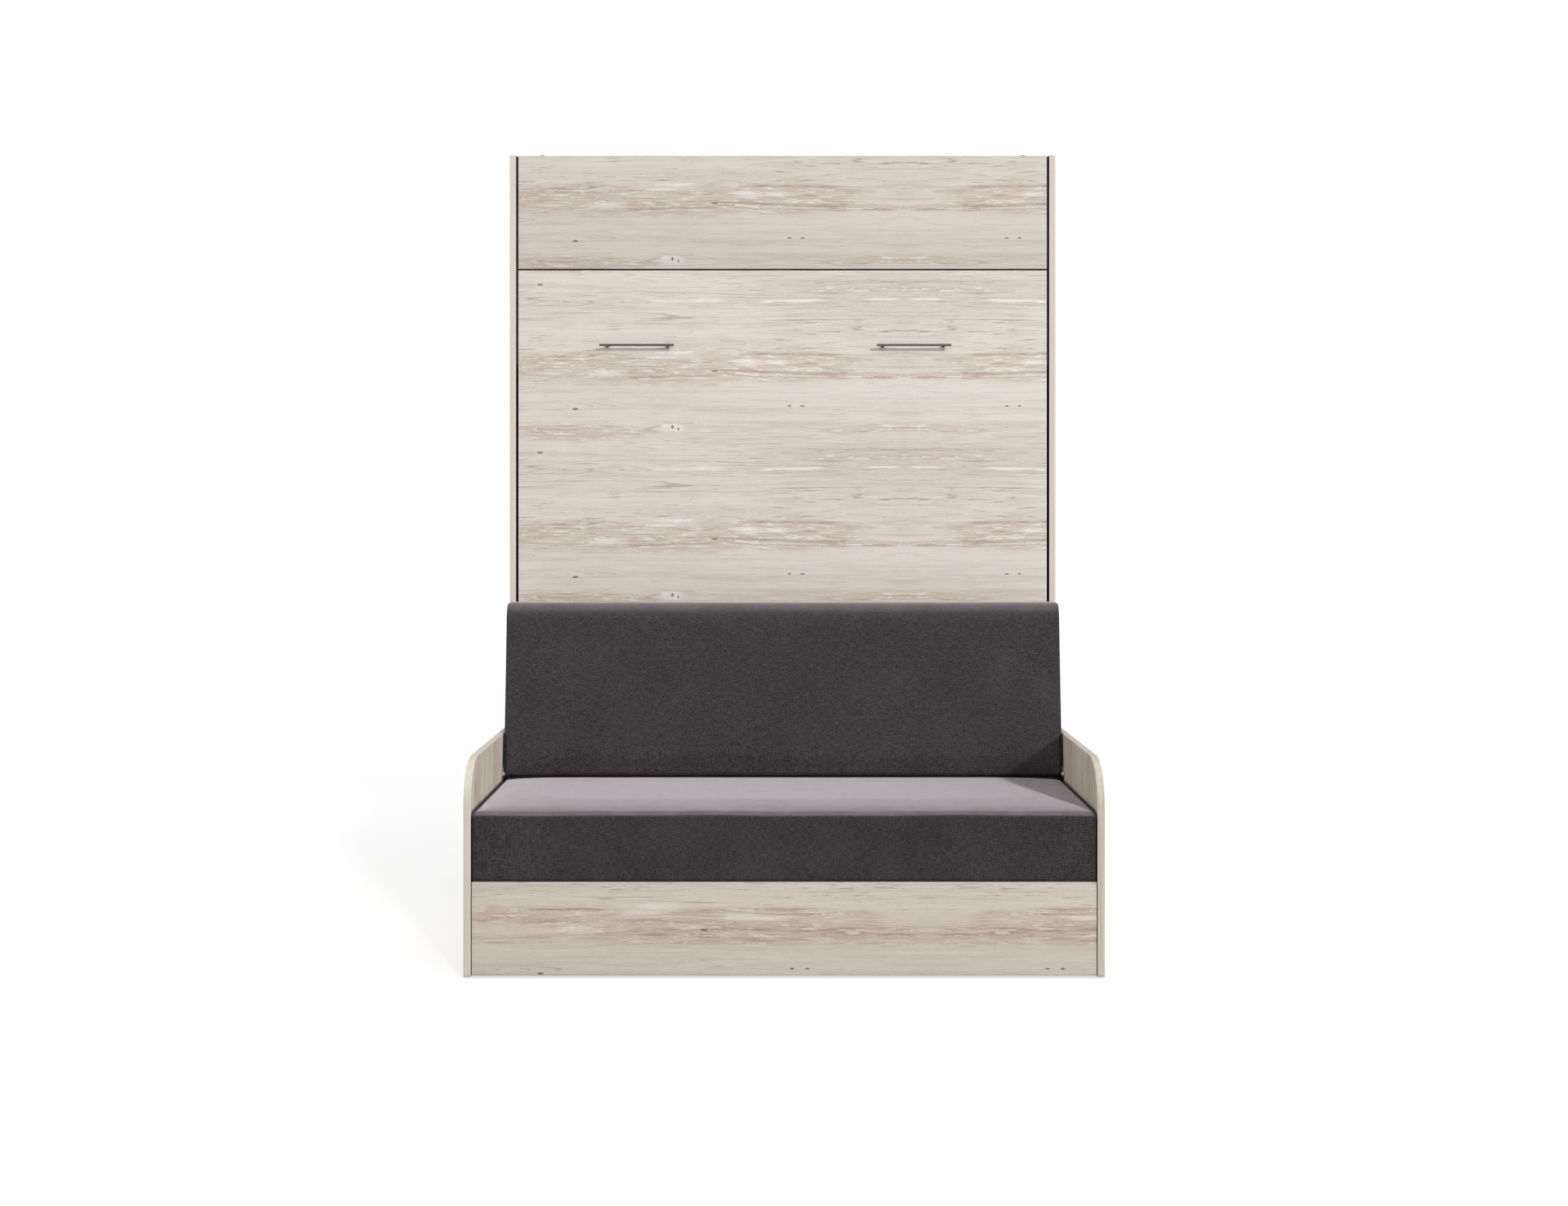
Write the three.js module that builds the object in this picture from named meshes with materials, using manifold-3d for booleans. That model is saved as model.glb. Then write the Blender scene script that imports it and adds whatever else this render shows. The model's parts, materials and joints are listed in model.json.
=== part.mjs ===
// A wall bed with a sofa in front of it. Lengths are millimetres, +Z is up, +X is to the
// right seen from the front, and +Y points to the wall. Inside the model y is measured from
// the front edge of the cabinet sides, and the last step moves the origin under the middle.
// The bed turns down over the folded sofa back, and the upper band of its front is its leg.
import * as THREE from 'three';
import { mergeVertices } from 'three/addons/utils/BufferGeometryUtils.js';
import Module from 'manifold-3d';

const wasm = await Module();
wasm.setup();

// Shared values
const touchGap = 0.3;
const pinHoleClearance = 0.35;
const curveSteps = 8;
const roundSteps = 18;
const armCornerSteps = 24;

// Cabinet
const cabinetWidth = 1580;
const cabinetHeight = 2180;
const cabinetDepth = 460;
const boardThickness = 18;
const frontGap = 5.5;
const backThickness = 3;
const backInset = 5;
const topPanelLegClearance = 5;
const rearRailHeight = 100;
const lowerFrontThickness = 12;
const glideHeight = 4;
const glideRadius = 7.5;
const glideInset = 30;

// Sofa
const sofaProjection = 720;
const armHeight = 535;
const armCornerRadius = 110;
const apronSetback = 2;
const apronFloorGap = 7;
const seatBoardTop = 237.5;
const seatCushionHeight = 178;
const seatCushionSideGap = 4;
const seatCushionSetback = 3;
const seatCushionRearGap = 58;
const seatCrown = 7;
const seatDrawIn = 4;
const seatCornerRadius = 16;
const centreSupportThickness = 18;

// Folding back of the sofa
const leanAngle = THREE.MathUtils.degToRad(6.4);
const backHingeSetback = 240;
const backFoldClearance = 5;
const backFrontInset = 4;
const backFootClearance = 3;
const backCushionHeight = 474;
const backCushionLift = 3.5;
const backCushionThickness = 126;
const backCushionSideGap = 4.2;
const backCrown = 8;
const backDrawIn = 5;
const backCornerRadius = 24;
const backBoardThickness = 12;
const backBoardInset = 40;
const backPlateThickness = 3;
const backPlateClearance = 0.6;
const backPlateReach = 92;
const backPlateFrontReach = 12;
const backPlateEyeRadius = 12;
const backPinRadius = 5;
const backPinHeadRadius = 7;
const backPinHeadThickness = 3;

// Bed
const bedOverSofaClearance = 12;
const frontBelowPivot = 95;
const swingClearance = 2;
const mechanismRoom = 47.6;
const mattressBelowPivot = 379.1;
const mattressThickness = 150;
const mattressHeadroom = 34;
const mattressSideGap = 2.4;
const mattressEndGap = 2;
const mattressCrown = 7;
const mattressDrawIn = 3;
const mattressCornerRadius = 30;
const railThickness = 22;
const railDepth = 100;
const endRailThickness = 20;
const slatSetback = 28;
const slatThickness = 8;
const slatWidth = 53;
const slatCount = 14;
const slatEndGap = 2;
const tapeWidth = 30;
const tapeThickness = 2;
const tapeProud = 1;
const tapeInset = 90;
const ledgeWidth = 24;
const ledgeDepth = 22;
const centreRailWidth = 44;
const strapWidth = 45;
const strapCornerRadius = 20;
const strapLegLength = 105;
const strapHeightShare = 0.3;

// Front of the bed and its handles
const bandHeight = 328;
const seamGap = 4;
const handleDrop = 219.2;
const leftHandleX = -420;
const rightHandleX = 378;
const handleLength = 214;
const handlePostSpacing = 175;
const handleStandOff = 30;
const handleBarDepth = 9;
const handleBarHeight = 6.5;
const handleBarCorner = 2;
const handlePostRadius = 3.2;

// Bed pivots
const pinRadius = 8;
const pinChamfer = 2;
const bushWall = 3.6;
const bushLength = 14;
const fixedPlateClearance = 1.2;
const fixedPlateFrontInset = 5;
const fixedPlateDepth = 110;
const fixedPlateHalfHeight = 80;
const bedPlateThickness = 4;
const bedPlateInset = 1;
const bedPlateEyeWall = 4.45;
const bedPlateDepth = 78;
const bedPlateBelow = 70;
const bedPlateAbove = 150;
const plateCorner = 10;

// Leg that swings out of the front
const footClearance = 1.5;
const legPadThickness = 1.5;
const legPadRadius = 7;
const legPadInset = 70;
const legBarWidth = 40;
const legBarClearance = 0.75;
const legTubeSize = 20;
const legTubeWall = 2;
const legTubeCorner = 3;
const legTubeDrop = 1;
const legPinFlangeRadius = 11;
const legPinFrontClearance = 1;
const legPinFlangeThickness = 5;
const legPinSpigotRadius = 6;

// Gas struts
const strutLowerDrop = 160;
const strutUpperRise = 330;
const strutUpperSetback = 150;
const strutTubeRadius = 11;
const strutBoreRadius = 8.5;
const strutGuideLength = 12;
const strutRodRadius = 5;
const strutRunningGap = 0.5;
const strutPistonLength = 10;
const strutPistonRest = 3;
const strutEyeRadius = 10;
const strutEyeWidth = 10;
const strutTopSolid = 24;
const strutEndSpace = 8;
const strutFerruleRadius = 7;
const strutFerruleLength = 14;
const strutStudRadius = 5;
const strutOpenPivotGap = 0.4;
const studFlangeRadius = 18;
const studFlangeThickness = 4;
const strutPlateDepth = 60;
const strutPlateHeight = 90;

// Places that follow from the sizes above
const railFrontY = boardThickness + touchGap;
const bushHoleRadius = pinRadius + pinHoleClearance + bushWall + touchGap;
const pivotSetback = railFrontY + bedPlateInset + bedPlateEyeWall + bushHoleRadius;
const legPivotSetback = boardThickness + legPinFrontClearance + legPinFlangeRadius;
const halfInner = cabinetWidth / 2 - boardThickness;
const halfOuter = cabinetWidth / 2;
const rearRailFrontY = cabinetDepth - boardThickness;
const topPanelLowZ = cabinetHeight - boardThickness;
const seatTopZ = seatBoardTop + touchGap + seatCushionHeight;
const backHingeZ = seatTopZ + backFoldClearance + backFrontInset;
const backBoardFront = backCushionThickness - backFrontInset + touchGap;
const backBoardRear = backBoardFront + backBoardThickness;
const backFootLift = (seatTopZ + backFootClearance - backHingeZ
  + backBoardRear * Math.sin(leanAngle)) / Math.cos(leanAngle);
const openUndersideZ = Math.max(backHingeZ + backBoardRear, armHeight) + bedOverSofaClearance;
const pivotZ = openUndersideZ + pivotSetback;
const frontLowZ = pivotZ - frontBelowPivot;
const frontDip = Math.hypot(pivotSetback, frontBelowPivot) - frontBelowPivot;
const lowerFrontTopZ = frontLowZ - frontDip - swingClearance;
const bandTopZ = cabinetHeight - legPadThickness - touchGap;
const bandLowZ = bandTopZ - bandHeight;
const frontTopZ = bandLowZ - seamGap;
const halfFront = halfInner - frontGap;
const handleZ = frontTopZ - handleDrop;
const railOuterX = halfInner - mechanismRoom;
const railInnerX = railOuterX - railThickness;
const mattressWidth = 2 * (railInnerX - mattressSideGap);
const mattressTopZ = topPanelLowZ - mattressHeadroom;
const mattressLowZ = pivotZ - mattressBelowPivot;
const mattressLength = mattressTopZ - mattressLowZ;
const headRailTopZ = mattressLowZ - mattressEndGap;
const headRailLowZ = headRailTopZ - endRailThickness;
const footRailLowZ = mattressTopZ + mattressEndGap;
const footRailTopZ = footRailLowZ + endRailThickness;
const slatFrontY = railFrontY + slatSetback;
const mattressFrontY = slatFrontY + slatThickness + tapeProud + touchGap;
const mattressRearY = mattressFrontY + mattressThickness;
const legBarThickness = frontGap - 2 * legBarClearance;
const legBarInnerX = halfInner - legBarClearance - legBarThickness;
const legPivotOpenZ = pivotZ + legPivotSetback - pivotSetback;
const legPivotZ = cabinetHeight - (legPivotOpenZ - footClearance);
const topPanelFrontY = legPivotSetback + legBarWidth / 2 + topPanelLegClearance;
const fixedPlateThickness = frontGap - touchGap - fixedPlateClearance;
const fixedPlateInnerX = halfInner - touchGap - fixedPlateThickness;
const strutX = (railOuterX + halfInner) / 2;
const strutUpperY = pivotSetback + strutUpperSetback;
const strutUpperZ = pivotZ + strutUpperRise;
const strutLowerZ = pivotZ - strutLowerDrop;
const strutLong = Math.hypot(strutUpperSetback, strutUpperRise + strutLowerDrop);
const strutShort = Math.hypot(strutUpperSetback - strutLowerDrop, strutUpperRise);
const strutAngle = Math.atan2(strutUpperSetback, strutUpperRise + strutLowerDrop);
const strutTubeEnd = strutShort - strutEyeRadius - strutFerruleLength - strutEndSpace;

// Finishes
const finish = (color, roughness, metalness) =>
  new THREE.MeshStandardMaterial({ color, roughness, metalness });
const laminate = finish(0xd8cbbd, 0.62, 0);
const greyFabric = finish(0x45424a, 0.95, 0);
const steel = finish(0xb9bbbd, 0.32, 1);
const darkSteel = finish(0x2c2d2f, 0.5, 0.8);
const blackPlastic = finish(0x1d1d1f, 0.5, 0);
const plywood = finish(0xcda877, 0.6, 0);
const hardboard = finish(0xe4e0da, 0.7, 0);
const ticking = finish(0xf0eee9, 0.9, 0);
const webbing = finish(0x3a3b40, 0.85, 0);

// Merge the corners of a mesh, drop flat triangles and turn its faces outwards
function closedMesh(source) {
  const plain = source.clone();
  plain.deleteAttribute('normal');
  plain.deleteAttribute('uv');
  const merged = mergeVertices(plain);
  const order = merged.index.array;
  const place = merged.getAttribute('position');
  const a = new THREE.Vector3();
  const b = new THREE.Vector3();
  const c = new THREE.Vector3();
  const kept = [];
  let volume = 0;
  for (let i = 0; i < order.length; i += 3) {
    const [p, q, r] = [order[i], order[i + 1], order[i + 2]];
    if (p === q || q === r || r === p) continue;
    kept.push(p, q, r);
    volume += a.fromBufferAttribute(place, p).dot(
      b.fromBufferAttribute(place, q).cross(c.fromBufferAttribute(place, r)));
  }
  if (volume < 0) kept.reverse();
  merged.setIndex(kept);
  merged.computeVertexNormals();
  return merged;
}

// Booleans on closed meshes
function toSolid(geometry) {
  const mesh = closedMesh(geometry);
  return new wasm.Manifold(new wasm.Mesh({
    numProp: 3,
    vertProperties: Float32Array.from(mesh.getAttribute('position').array),
    triVerts: Uint32Array.from(mesh.index.array),
  }));
}

function toGeometry(solid) {
  const mesh = solid.getMesh();
  const geometry = new THREE.BufferGeometry();
  geometry.setAttribute('position', new THREE.BufferAttribute(mesh.vertProperties, mesh.numProp));
  geometry.setIndex(new THREE.BufferAttribute(mesh.triVerts, 1));
  return geometry;
}

function joined(first, ...others) {
  let solid = toSolid(first);
  for (const other of others) solid = solid.add(toSolid(other));
  return toGeometry(solid);
}

function cut(first, ...others) {
  let solid = toSolid(first);
  for (const other of others) solid = solid.subtract(toSolid(other));
  return toGeometry(solid);
}

// Basic forms
function block(x0, x1, y0, y1, z0, z1) {
  const geometry = new THREE.BoxGeometry(x1 - x0, y1 - y0, z1 - z0);
  geometry.translate((x0 + x1) / 2, (y0 + y1) / 2, (z0 + z1) / 2);
  return geometry;
}

// An outline in y and z carried along x from x0 to x1
function alongX(outline, x0, x1, steps = curveSteps) {
  const geometry = new THREE.ExtrudeGeometry(outline,
    { depth: x1 - x0, bevelEnabled: false, curveSegments: steps });
  const turn = new THREE.Matrix4().makeBasis(
    new THREE.Vector3(0, 1, 0), new THREE.Vector3(0, 0, 1), new THREE.Vector3(1, 0, 0));
  geometry.applyMatrix4(turn);
  geometry.translate(x0, 0, 0);
  return geometry;
}

function roundedOutline(u0, u1, v0, v1, radius) {
  const outline = new THREE.Shape();
  const quarter = Math.PI / 2;
  outline.absarc(u1 - radius, v0 + radius, radius, -quarter, 0);
  outline.absarc(u1 - radius, v1 - radius, radius, 0, quarter);
  outline.absarc(u0 + radius, v1 - radius, radius, quarter, 2 * quarter);
  outline.absarc(u0 + radius, v0 + radius, radius, 2 * quarter, 3 * quarter);
  return outline;
}

// The flats of the faceted hole clear the radius
function holeIn(outline, u, v, radius) {
  const hole = new THREE.Path();
  const cornerRadius = radius / Math.cos(Math.PI / (2 * curveSteps));
  hole.absarc(u, v, cornerRadius, 0, 2 * Math.PI, true);
  outline.holes.push(hole);
}

// A turned piece along x, from pairs of place along x and radius, centred on y and z
function turnedAlongX(profile, y, z) {
  const points = profile.map(([x, radius]) => new THREE.Vector2(radius, x));
  const geometry = new THREE.LatheGeometry(points, roundSteps);
  geometry.rotateZ(-Math.PI / 2);
  geometry.translate(0, y, z);
  return geometry;
}

function turnedAlongZ(profile) {
  const points = profile.map(([z, radius]) => new THREE.Vector2(radius, z));
  const geometry = new THREE.LatheGeometry(points, roundSteps);
  geometry.rotateX(Math.PI / 2);
  return geometry;
}

function disc(radius, x, y, z0, z1) {
  const geometry = turnedAlongZ([[z0, 0], [z0, radius], [z1, radius], [z1, 0]]);
  geometry.translate(x, y, 0);
  return geometry;
}

// A padded block: rounded edges, a crown on the faces across the thin side, drawn-in sides.
// The stops along each side crowd together in the rounded edge.
function edgeStops(half, radius, steps, edgeSteps) {
  const stops = [];
  for (let i = 0; i <= steps; i += 1) {
    const fromEnd = Math.min(i, steps - i);
    let place = half - radius;
    if (fromEnd < edgeSteps) {
      place += radius * Math.tan((Math.PI / 4) * (1 - fromEnd / edgeSteps));
    } else {
      place *= 1 - (2 * (fromEnd - edgeSteps)) / (steps - 2 * edgeSteps);
    }
    stops.push(i <= steps / 2 ? -place : place);
  }
  return stops;
}

// size, steps and draw are along x, y and z; crownAxis is 0, 1 or 2; the crown is inside size
function paddedBlock({ size, steps, edgeSteps, radius, crownAxis, crown, drawIn }) {
  const geometry = closedMesh(new THREE.BoxGeometry(1, 1, 1, ...steps));
  const place = geometry.getAttribute('position');
  const half = size.map((length, axis) => length / 2 - (axis === crownAxis ? crown : 0));
  const stops = half.map((length, axis) => edgeStops(length, radius, steps[axis], edgeSteps));
  for (let i = 0; i < place.count; i += 1) {
    const grid = [place.getX(i), place.getY(i), place.getZ(i)];
    const raw = grid.map((value, axis) => stops[axis][Math.round((value + 0.5) * steps[axis])]);
    const core = raw.map((value, axis) =>
      THREE.MathUtils.clamp(value, radius - half[axis], half[axis] - radius));
    const offset = raw.map((value, axis) => value - core[axis]);
    const length = Math.hypot(...offset);
    const point = core.map((value, axis) => value + (radius * offset[axis]) / length);
    const share = point.map((value, axis) => value / half[axis]);
    const dome = share.map((value) => 1 - value * value);
    const others = [0, 1, 2].filter((axis) => axis !== crownAxis);
    const moved = [...point];
    moved[crownAxis] += crown * share[crownAxis] * Math.sqrt(
      Math.max(dome[others[0]], 0) * Math.max(dome[others[1]], 0));
    for (const axis of others) {
      const along = others.find((other) => other !== axis);
      moved[axis] -= drawIn * share[axis] * Math.max(dome[along], 0);
    }
    place.setXYZ(i, ...moved);
  }
  return closedMesh(geometry);
}

// The assemblies: what stands still, the bed, its leg, the sofa back and the two struts
const base = new THREE.Group();
const bed = new THREE.Group();
const leg = new THREE.Group();
const sofaBack = new THREE.Group();

function add(group, name, geometry, material) {
  const mesh = new THREE.Mesh(closedMesh(geometry), material);
  mesh.name = name;
  group.add(mesh);
  return mesh;
}

// Left and right copies share one shape: side is -1 on the left and 1 on the right
function sided(side, geometry) {
  if (side > 0) return geometry;
  geometry.scale(-1, 1, 1);
  return geometry;
}

const sides = [['left', -1], ['right', 1]];

// Cabinet boards
function cabinetShell() {
  const halfWide = halfInner - touchGap;
  for (const [label, side] of sides) {
    add(base, `${label}_side_panel`, sided(side, block(
      halfInner, halfOuter, 0, cabinetDepth, glideHeight + touchGap, cabinetHeight)), laminate);
    add(base, `${label}_rear_glide`, sided(side, disc(glideRadius,
      halfInner + boardThickness / 2, cabinetDepth - glideInset, 0, glideHeight)), blackPlastic);
  }
  add(base, 'top_panel', block(-halfWide, halfWide, topPanelFrontY, cabinetDepth,
    topPanelLowZ, cabinetHeight), laminate);
  add(base, 'rear_top_rail', block(-halfWide, halfWide, rearRailFrontY, cabinetDepth,
    topPanelLowZ - touchGap - rearRailHeight, topPanelLowZ - touchGap), laminate);
  add(base, 'rear_bottom_rail', block(-halfWide, halfWide, rearRailFrontY, cabinetDepth,
    glideHeight + touchGap, glideHeight + touchGap + rearRailHeight), laminate);
  const backRearY = cabinetDepth - backInset;
  add(base, 'back_panel', block(-halfWide, halfWide, backRearY - backThickness, backRearY,
    glideHeight + rearRailHeight + 2 * touchGap,
    topPanelLowZ - rearRailHeight - 2 * touchGap), hardboard);
  add(base, 'lower_front_panel', block(-halfWide, halfWide, 0, lowerFrontThickness,
    glideHeight + touchGap, lowerFrontTopZ), laminate);
}

// Fixed pivot plate with the pin that carries the bed
function fixedPivotPlate() {
  const rearY = fixedPlateFrontInset + fixedPlateDepth;
  const outline = roundedOutline(fixedPlateFrontInset, rearY,
    pivotZ - fixedPlateHalfHeight, pivotZ + fixedPlateHalfHeight, plateCorner);
  const outerX = fixedPlateInnerX + fixedPlateThickness;
  const plate = alongX(outline, fixedPlateInnerX, outerX);
  const tipX = railOuterX + 2 * touchGap;
  const pin = turnedAlongX([[tipX, 0], [tipX, pinRadius - pinChamfer],
    [tipX + pinChamfer, pinRadius], [outerX - touchGap, pinRadius], [outerX - touchGap, 0]],
    pivotSetback, pivotZ);
  return joined(plate, pin);
}

// Fixed plate with the stud that holds the upper end of a strut
function strutPlate() {
  const outline = roundedOutline(strutUpperY - strutPlateDepth / 2,
    strutUpperY + strutPlateDepth / 2, strutUpperZ - strutPlateHeight / 2,
    strutUpperZ + strutPlateHeight / 2, plateCorner);
  const outerX = fixedPlateInnerX + fixedPlateThickness;
  const plate = alongX(outline, fixedPlateInnerX, outerX);
  const tipX = strutX - strutEyeWidth / 2 - 2 * touchGap;
  const collar = strutX + strutEyeWidth / 2 + strutRunningGap;
  const stud = turnedAlongX([[tipX, 0], [tipX, strutStudRadius], [collar, strutStudRadius],
    [collar, strutFerruleRadius], [outerX - touchGap, strutFerruleRadius],
    [outerX - touchGap, 0]], strutUpperY, strutUpperZ);
  return joined(plate, stud);
}

function cabinetFittings() {
  for (const [label, side] of sides) {
    add(base, `${label}_pivot_plate`, sided(side, fixedPivotPlate()), steel);
    add(base, `${label}_strut_bracket`, sided(side, strutPlate()), steel);
  }
}

// Sofa that stands in front, between two arms in line with the cabinet sides
function armOutline() {
  const outline = new THREE.Shape();
  const frontY = -sofaProjection;
  const lowZ = glideHeight + touchGap;
  outline.moveTo(-touchGap, lowZ);
  outline.lineTo(-touchGap, armHeight);
  outline.lineTo(frontY + armCornerRadius, armHeight);
  outline.absarc(frontY + armCornerRadius, armHeight - armCornerRadius, armCornerRadius,
    Math.PI / 2, Math.PI);
  outline.lineTo(frontY, lowZ);
  return outline;
}

function sofaFrame() {
  const halfWide = halfInner - touchGap;
  const apronFrontY = apronSetback - sofaProjection;
  const apronRearY = apronFrontY + boardThickness;
  const boardLowZ = seatBoardTop - boardThickness;
  const frameRearY = -touchGap;
  const supportRearY = frameRearY - boardThickness - touchGap;
  for (const [label, side] of sides) {
    add(base, `${label}_arm`, sided(side, alongX(armOutline(), halfInner, halfOuter,
      armCornerSteps)), laminate);
    add(base, `${label}_arm_glide`, sided(side, disc(glideRadius,
      halfInner + boardThickness / 2, glideInset - sofaProjection, 0, glideHeight)),
      blackPlastic);
  }
  add(base, 'seat_apron', block(-halfWide, halfWide, apronFrontY, apronRearY,
    apronFloorGap, seatBoardTop), laminate);
  add(base, 'seat_platform', block(-halfWide, halfWide, apronRearY + touchGap, frameRearY,
    boardLowZ, seatBoardTop), laminate);
  add(base, 'sofa_rear_rail', block(-halfWide, halfWide, frameRearY - boardThickness, frameRearY,
    apronFloorGap, boardLowZ - touchGap), laminate);
  add(base, 'seat_centre_support', block(-centreSupportThickness / 2, centreSupportThickness / 2,
    apronRearY + touchGap, supportRearY, apronFloorGap, boardLowZ - touchGap), laminate);
}

function seatCushion() {
  const frontY = seatCushionSetback - sofaProjection;
  const rearY = -seatCushionRearGap;
  const geometry = paddedBlock({
    size: [2 * (halfInner - seatCushionSideGap), rearY - frontY, seatCushionHeight],
    steps: [20, 10, 6],
    edgeSteps: 2,
    radius: seatCornerRadius,
    crownAxis: 2,
    crown: seatCrown,
    drawIn: seatDrawIn,
  });
  const lowZ = seatBoardTop + touchGap;
  geometry.translate(0, (frontY + rearY) / 2, lowZ + seatCushionHeight / 2);
  return flatUnder(geometry, lowZ + seatCrown);
}

// A cushion that rests on a board is flat below: the crown there is pressed out
function flatUnder(geometry, flatZ) {
  const place = geometry.getAttribute('position');
  const lowZ = flatZ - seatCrown;
  const turnZ = flatZ + seatCornerRadius;
  for (let i = 0; i < place.count; i += 1) {
    const z = place.getZ(i);
    if (z >= turnZ) continue;
    const share = Math.max((z - flatZ) / seatCornerRadius, 0);
    place.setZ(i, lowZ + (turnZ - lowZ) * share);
  }
  return closedMesh(geometry);
}

function backPin() {
  const plateInnerX = halfInner - backPlateClearance - backPlateThickness;
  const headX = plateInnerX - touchGap;
  return turnedAlongX([[headX - backPinHeadThickness, 0],
    [headX - backPinHeadThickness, backPinHeadRadius], [headX, backPinHeadRadius],
    [headX, backPinRadius], [halfInner - touchGap, backPinRadius], [halfInner - touchGap, 0]],
    -backHingeSetback, backHingeZ);
}

function sofa() {
  sofaFrame();
  add(base, 'seat_cushion', seatCushion(), greyFabric);
  for (const [label, side] of sides) {
    add(base, `${label}_backrest_pin`, sided(side, backPin()), steel);
  }
}

// The folding back is drawn upright about its hinge line, and its group leans it back.
// Here y runs through its thickness and z along its height.
function backPlateOutline() {
  const outline = new THREE.Shape();
  const topZ = backFootLift + backPlateReach;
  outline.moveTo(backBoardRear, backFootLift);
  outline.lineTo(backBoardRear, topZ);
  outline.lineTo(backBoardFront - backPlateFrontReach, topZ);
  outline.lineTo(0, backPlateEyeRadius);
  outline.absarc(0, 0, backPlateEyeRadius, Math.PI / 2, 3 * Math.PI / 2);
  holeIn(outline, 0, 0, backPinRadius + pinHoleClearance);
  return outline;
}

function backCushion() {
  const geometry = paddedBlock({
    size: [2 * (halfInner - backCushionSideGap), backCushionThickness, backCushionHeight],
    steps: [20, 6, 10],
    edgeSteps: 2,
    radius: backCornerRadius,
    crownAxis: 1,
    crown: backCrown,
    drawIn: backDrawIn,
  });
  geometry.translate(0, backCushionThickness / 2 - backFrontInset,
    backCushionLift + backCushionHeight / 2);
  return geometry;
}

function foldingBack() {
  const plateOuterX = halfInner - backPlateClearance;
  const plateInnerX = plateOuterX - backPlateThickness;
  add(sofaBack, 'back_cushion', backCushion(), greyFabric);
  add(sofaBack, 'backrest_board', block(touchGap - plateInnerX, plateInnerX - touchGap,
    backBoardFront, backBoardRear, backFootLift,
    backCushionLift + backCushionHeight - backBoardInset), plywood);
  for (const [label, side] of sides) {
    add(sofaBack, `${label}_backrest_plate`,
      sided(side, alongX(backPlateOutline(), plateInnerX, plateOuterX)), steel);
  }
  sofaBack.position.set(0, -backHingeSetback, backHingeZ);
  sofaBack.rotation.x = -leanAngle;
}

// Bed frame, slats and mattress
function bedFrame() {
  const railRearY = railFrontY + railDepth;
  const betweenX = railInnerX - touchGap;
  const ledgeRearY = slatFrontY - touchGap;
  const ledgeLowZ = headRailTopZ + touchGap;
  const ledgeTopZ = footRailLowZ - touchGap;
  add(bed, 'bed_front_panel', block(-halfFront, halfFront, 0, boardThickness,
    frontLowZ, frontTopZ), laminate);
  for (const [label, side] of sides) {
    add(bed, `${label}_side_rail`, sided(side, block(railInnerX, railOuterX, railFrontY,
      railRearY, headRailLowZ, footRailTopZ)), laminate);
    add(bed, `${label}_slat_ledge`, sided(side, block(betweenX - ledgeWidth, betweenX,
      ledgeRearY - ledgeDepth, ledgeRearY, ledgeLowZ, ledgeTopZ)), plywood);
  }
  add(bed, 'head_rail', block(-betweenX, betweenX, railFrontY, railRearY,
    headRailLowZ, headRailTopZ), laminate);
  add(bed, 'foot_rail', block(-betweenX, betweenX, railFrontY, railRearY,
    footRailLowZ, footRailTopZ), laminate);
  add(bed, 'centre_rail', block(-centreRailWidth / 2, centreRailWidth / 2, railFrontY,
    ledgeRearY, ledgeLowZ, ledgeTopZ), plywood);
}

// Slats across the frame, held at their spacing by two tapes
function slatRoll() {
  const halfLong = railInnerX - touchGap - slatEndGap;
  const rearY = slatFrontY + slatThickness;
  const firstZ = headRailTopZ + slatWidth;
  const pitch = (footRailLowZ - 2 * slatWidth - firstZ) / (slatCount - 1);
  const pieces = [];
  for (let i = 0; i < slatCount; i += 1) {
    const z = firstZ + i * pitch;
    pieces.push(block(-halfLong, halfLong, slatFrontY, rearY, z, z + slatWidth));
  }
  const lastZ = firstZ + (slatCount - 1) * pitch + slatWidth;
  for (const [, side] of sides) {
    const x = side * (halfLong - tapeInset);
    pieces.push(block(x - tapeWidth / 2, x + tapeWidth / 2, rearY + tapeProud - tapeThickness,
      rearY + tapeProud, firstZ + tapeThickness, lastZ - tapeThickness));
  }
  return joined(...pieces);
}

function mattress() {
  const geometry = paddedBlock({
    size: [mattressWidth, mattressThickness, mattressLength],
    steps: [14, 6, 16],
    edgeSteps: 2,
    radius: mattressCornerRadius,
    crownAxis: 1,
    crown: mattressCrown,
    drawIn: mattressDrawIn,
  });
  geometry.translate(0, (mattressFrontY + mattressRearY) / 2, (mattressLowZ + mattressTopZ) / 2);
  return geometry;
}

// A strap over the mattress, drawn in x and y and carried along z
function mattressStrap() {
  const thickness = mattressSideGap - 2 * touchGap;
  const innerX = mattressWidth / 2 + touchGap;
  const outerX = innerX + thickness;
  const innerY = mattressRearY + touchGap;
  const footY = mattressRearY - strapLegLength;
  const outline = new THREE.Shape();
  const quarter = Math.PI / 2;
  const inside = strapCornerRadius - thickness;
  outline.moveTo(outerX, footY);
  outline.absarc(outerX - strapCornerRadius, innerY + thickness - strapCornerRadius,
    strapCornerRadius, 0, quarter);
  outline.absarc(strapCornerRadius - outerX, innerY + thickness - strapCornerRadius,
    strapCornerRadius, quarter, 2 * quarter);
  outline.lineTo(-outerX, footY);
  outline.lineTo(-innerX, footY);
  outline.absarc(inside - innerX, innerY - inside, inside, 2 * quarter, quarter, true);
  outline.absarc(innerX - inside, innerY - inside, inside, quarter, 0, true);
  outline.lineTo(innerX, footY);
  const geometry = new THREE.ExtrudeGeometry(outline,
    { depth: strapWidth, bevelEnabled: false, curveSegments: curveSteps });
  geometry.translate(0, 0, mattressLowZ + mattressLength * strapHeightShare);
  return geometry;
}

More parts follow.
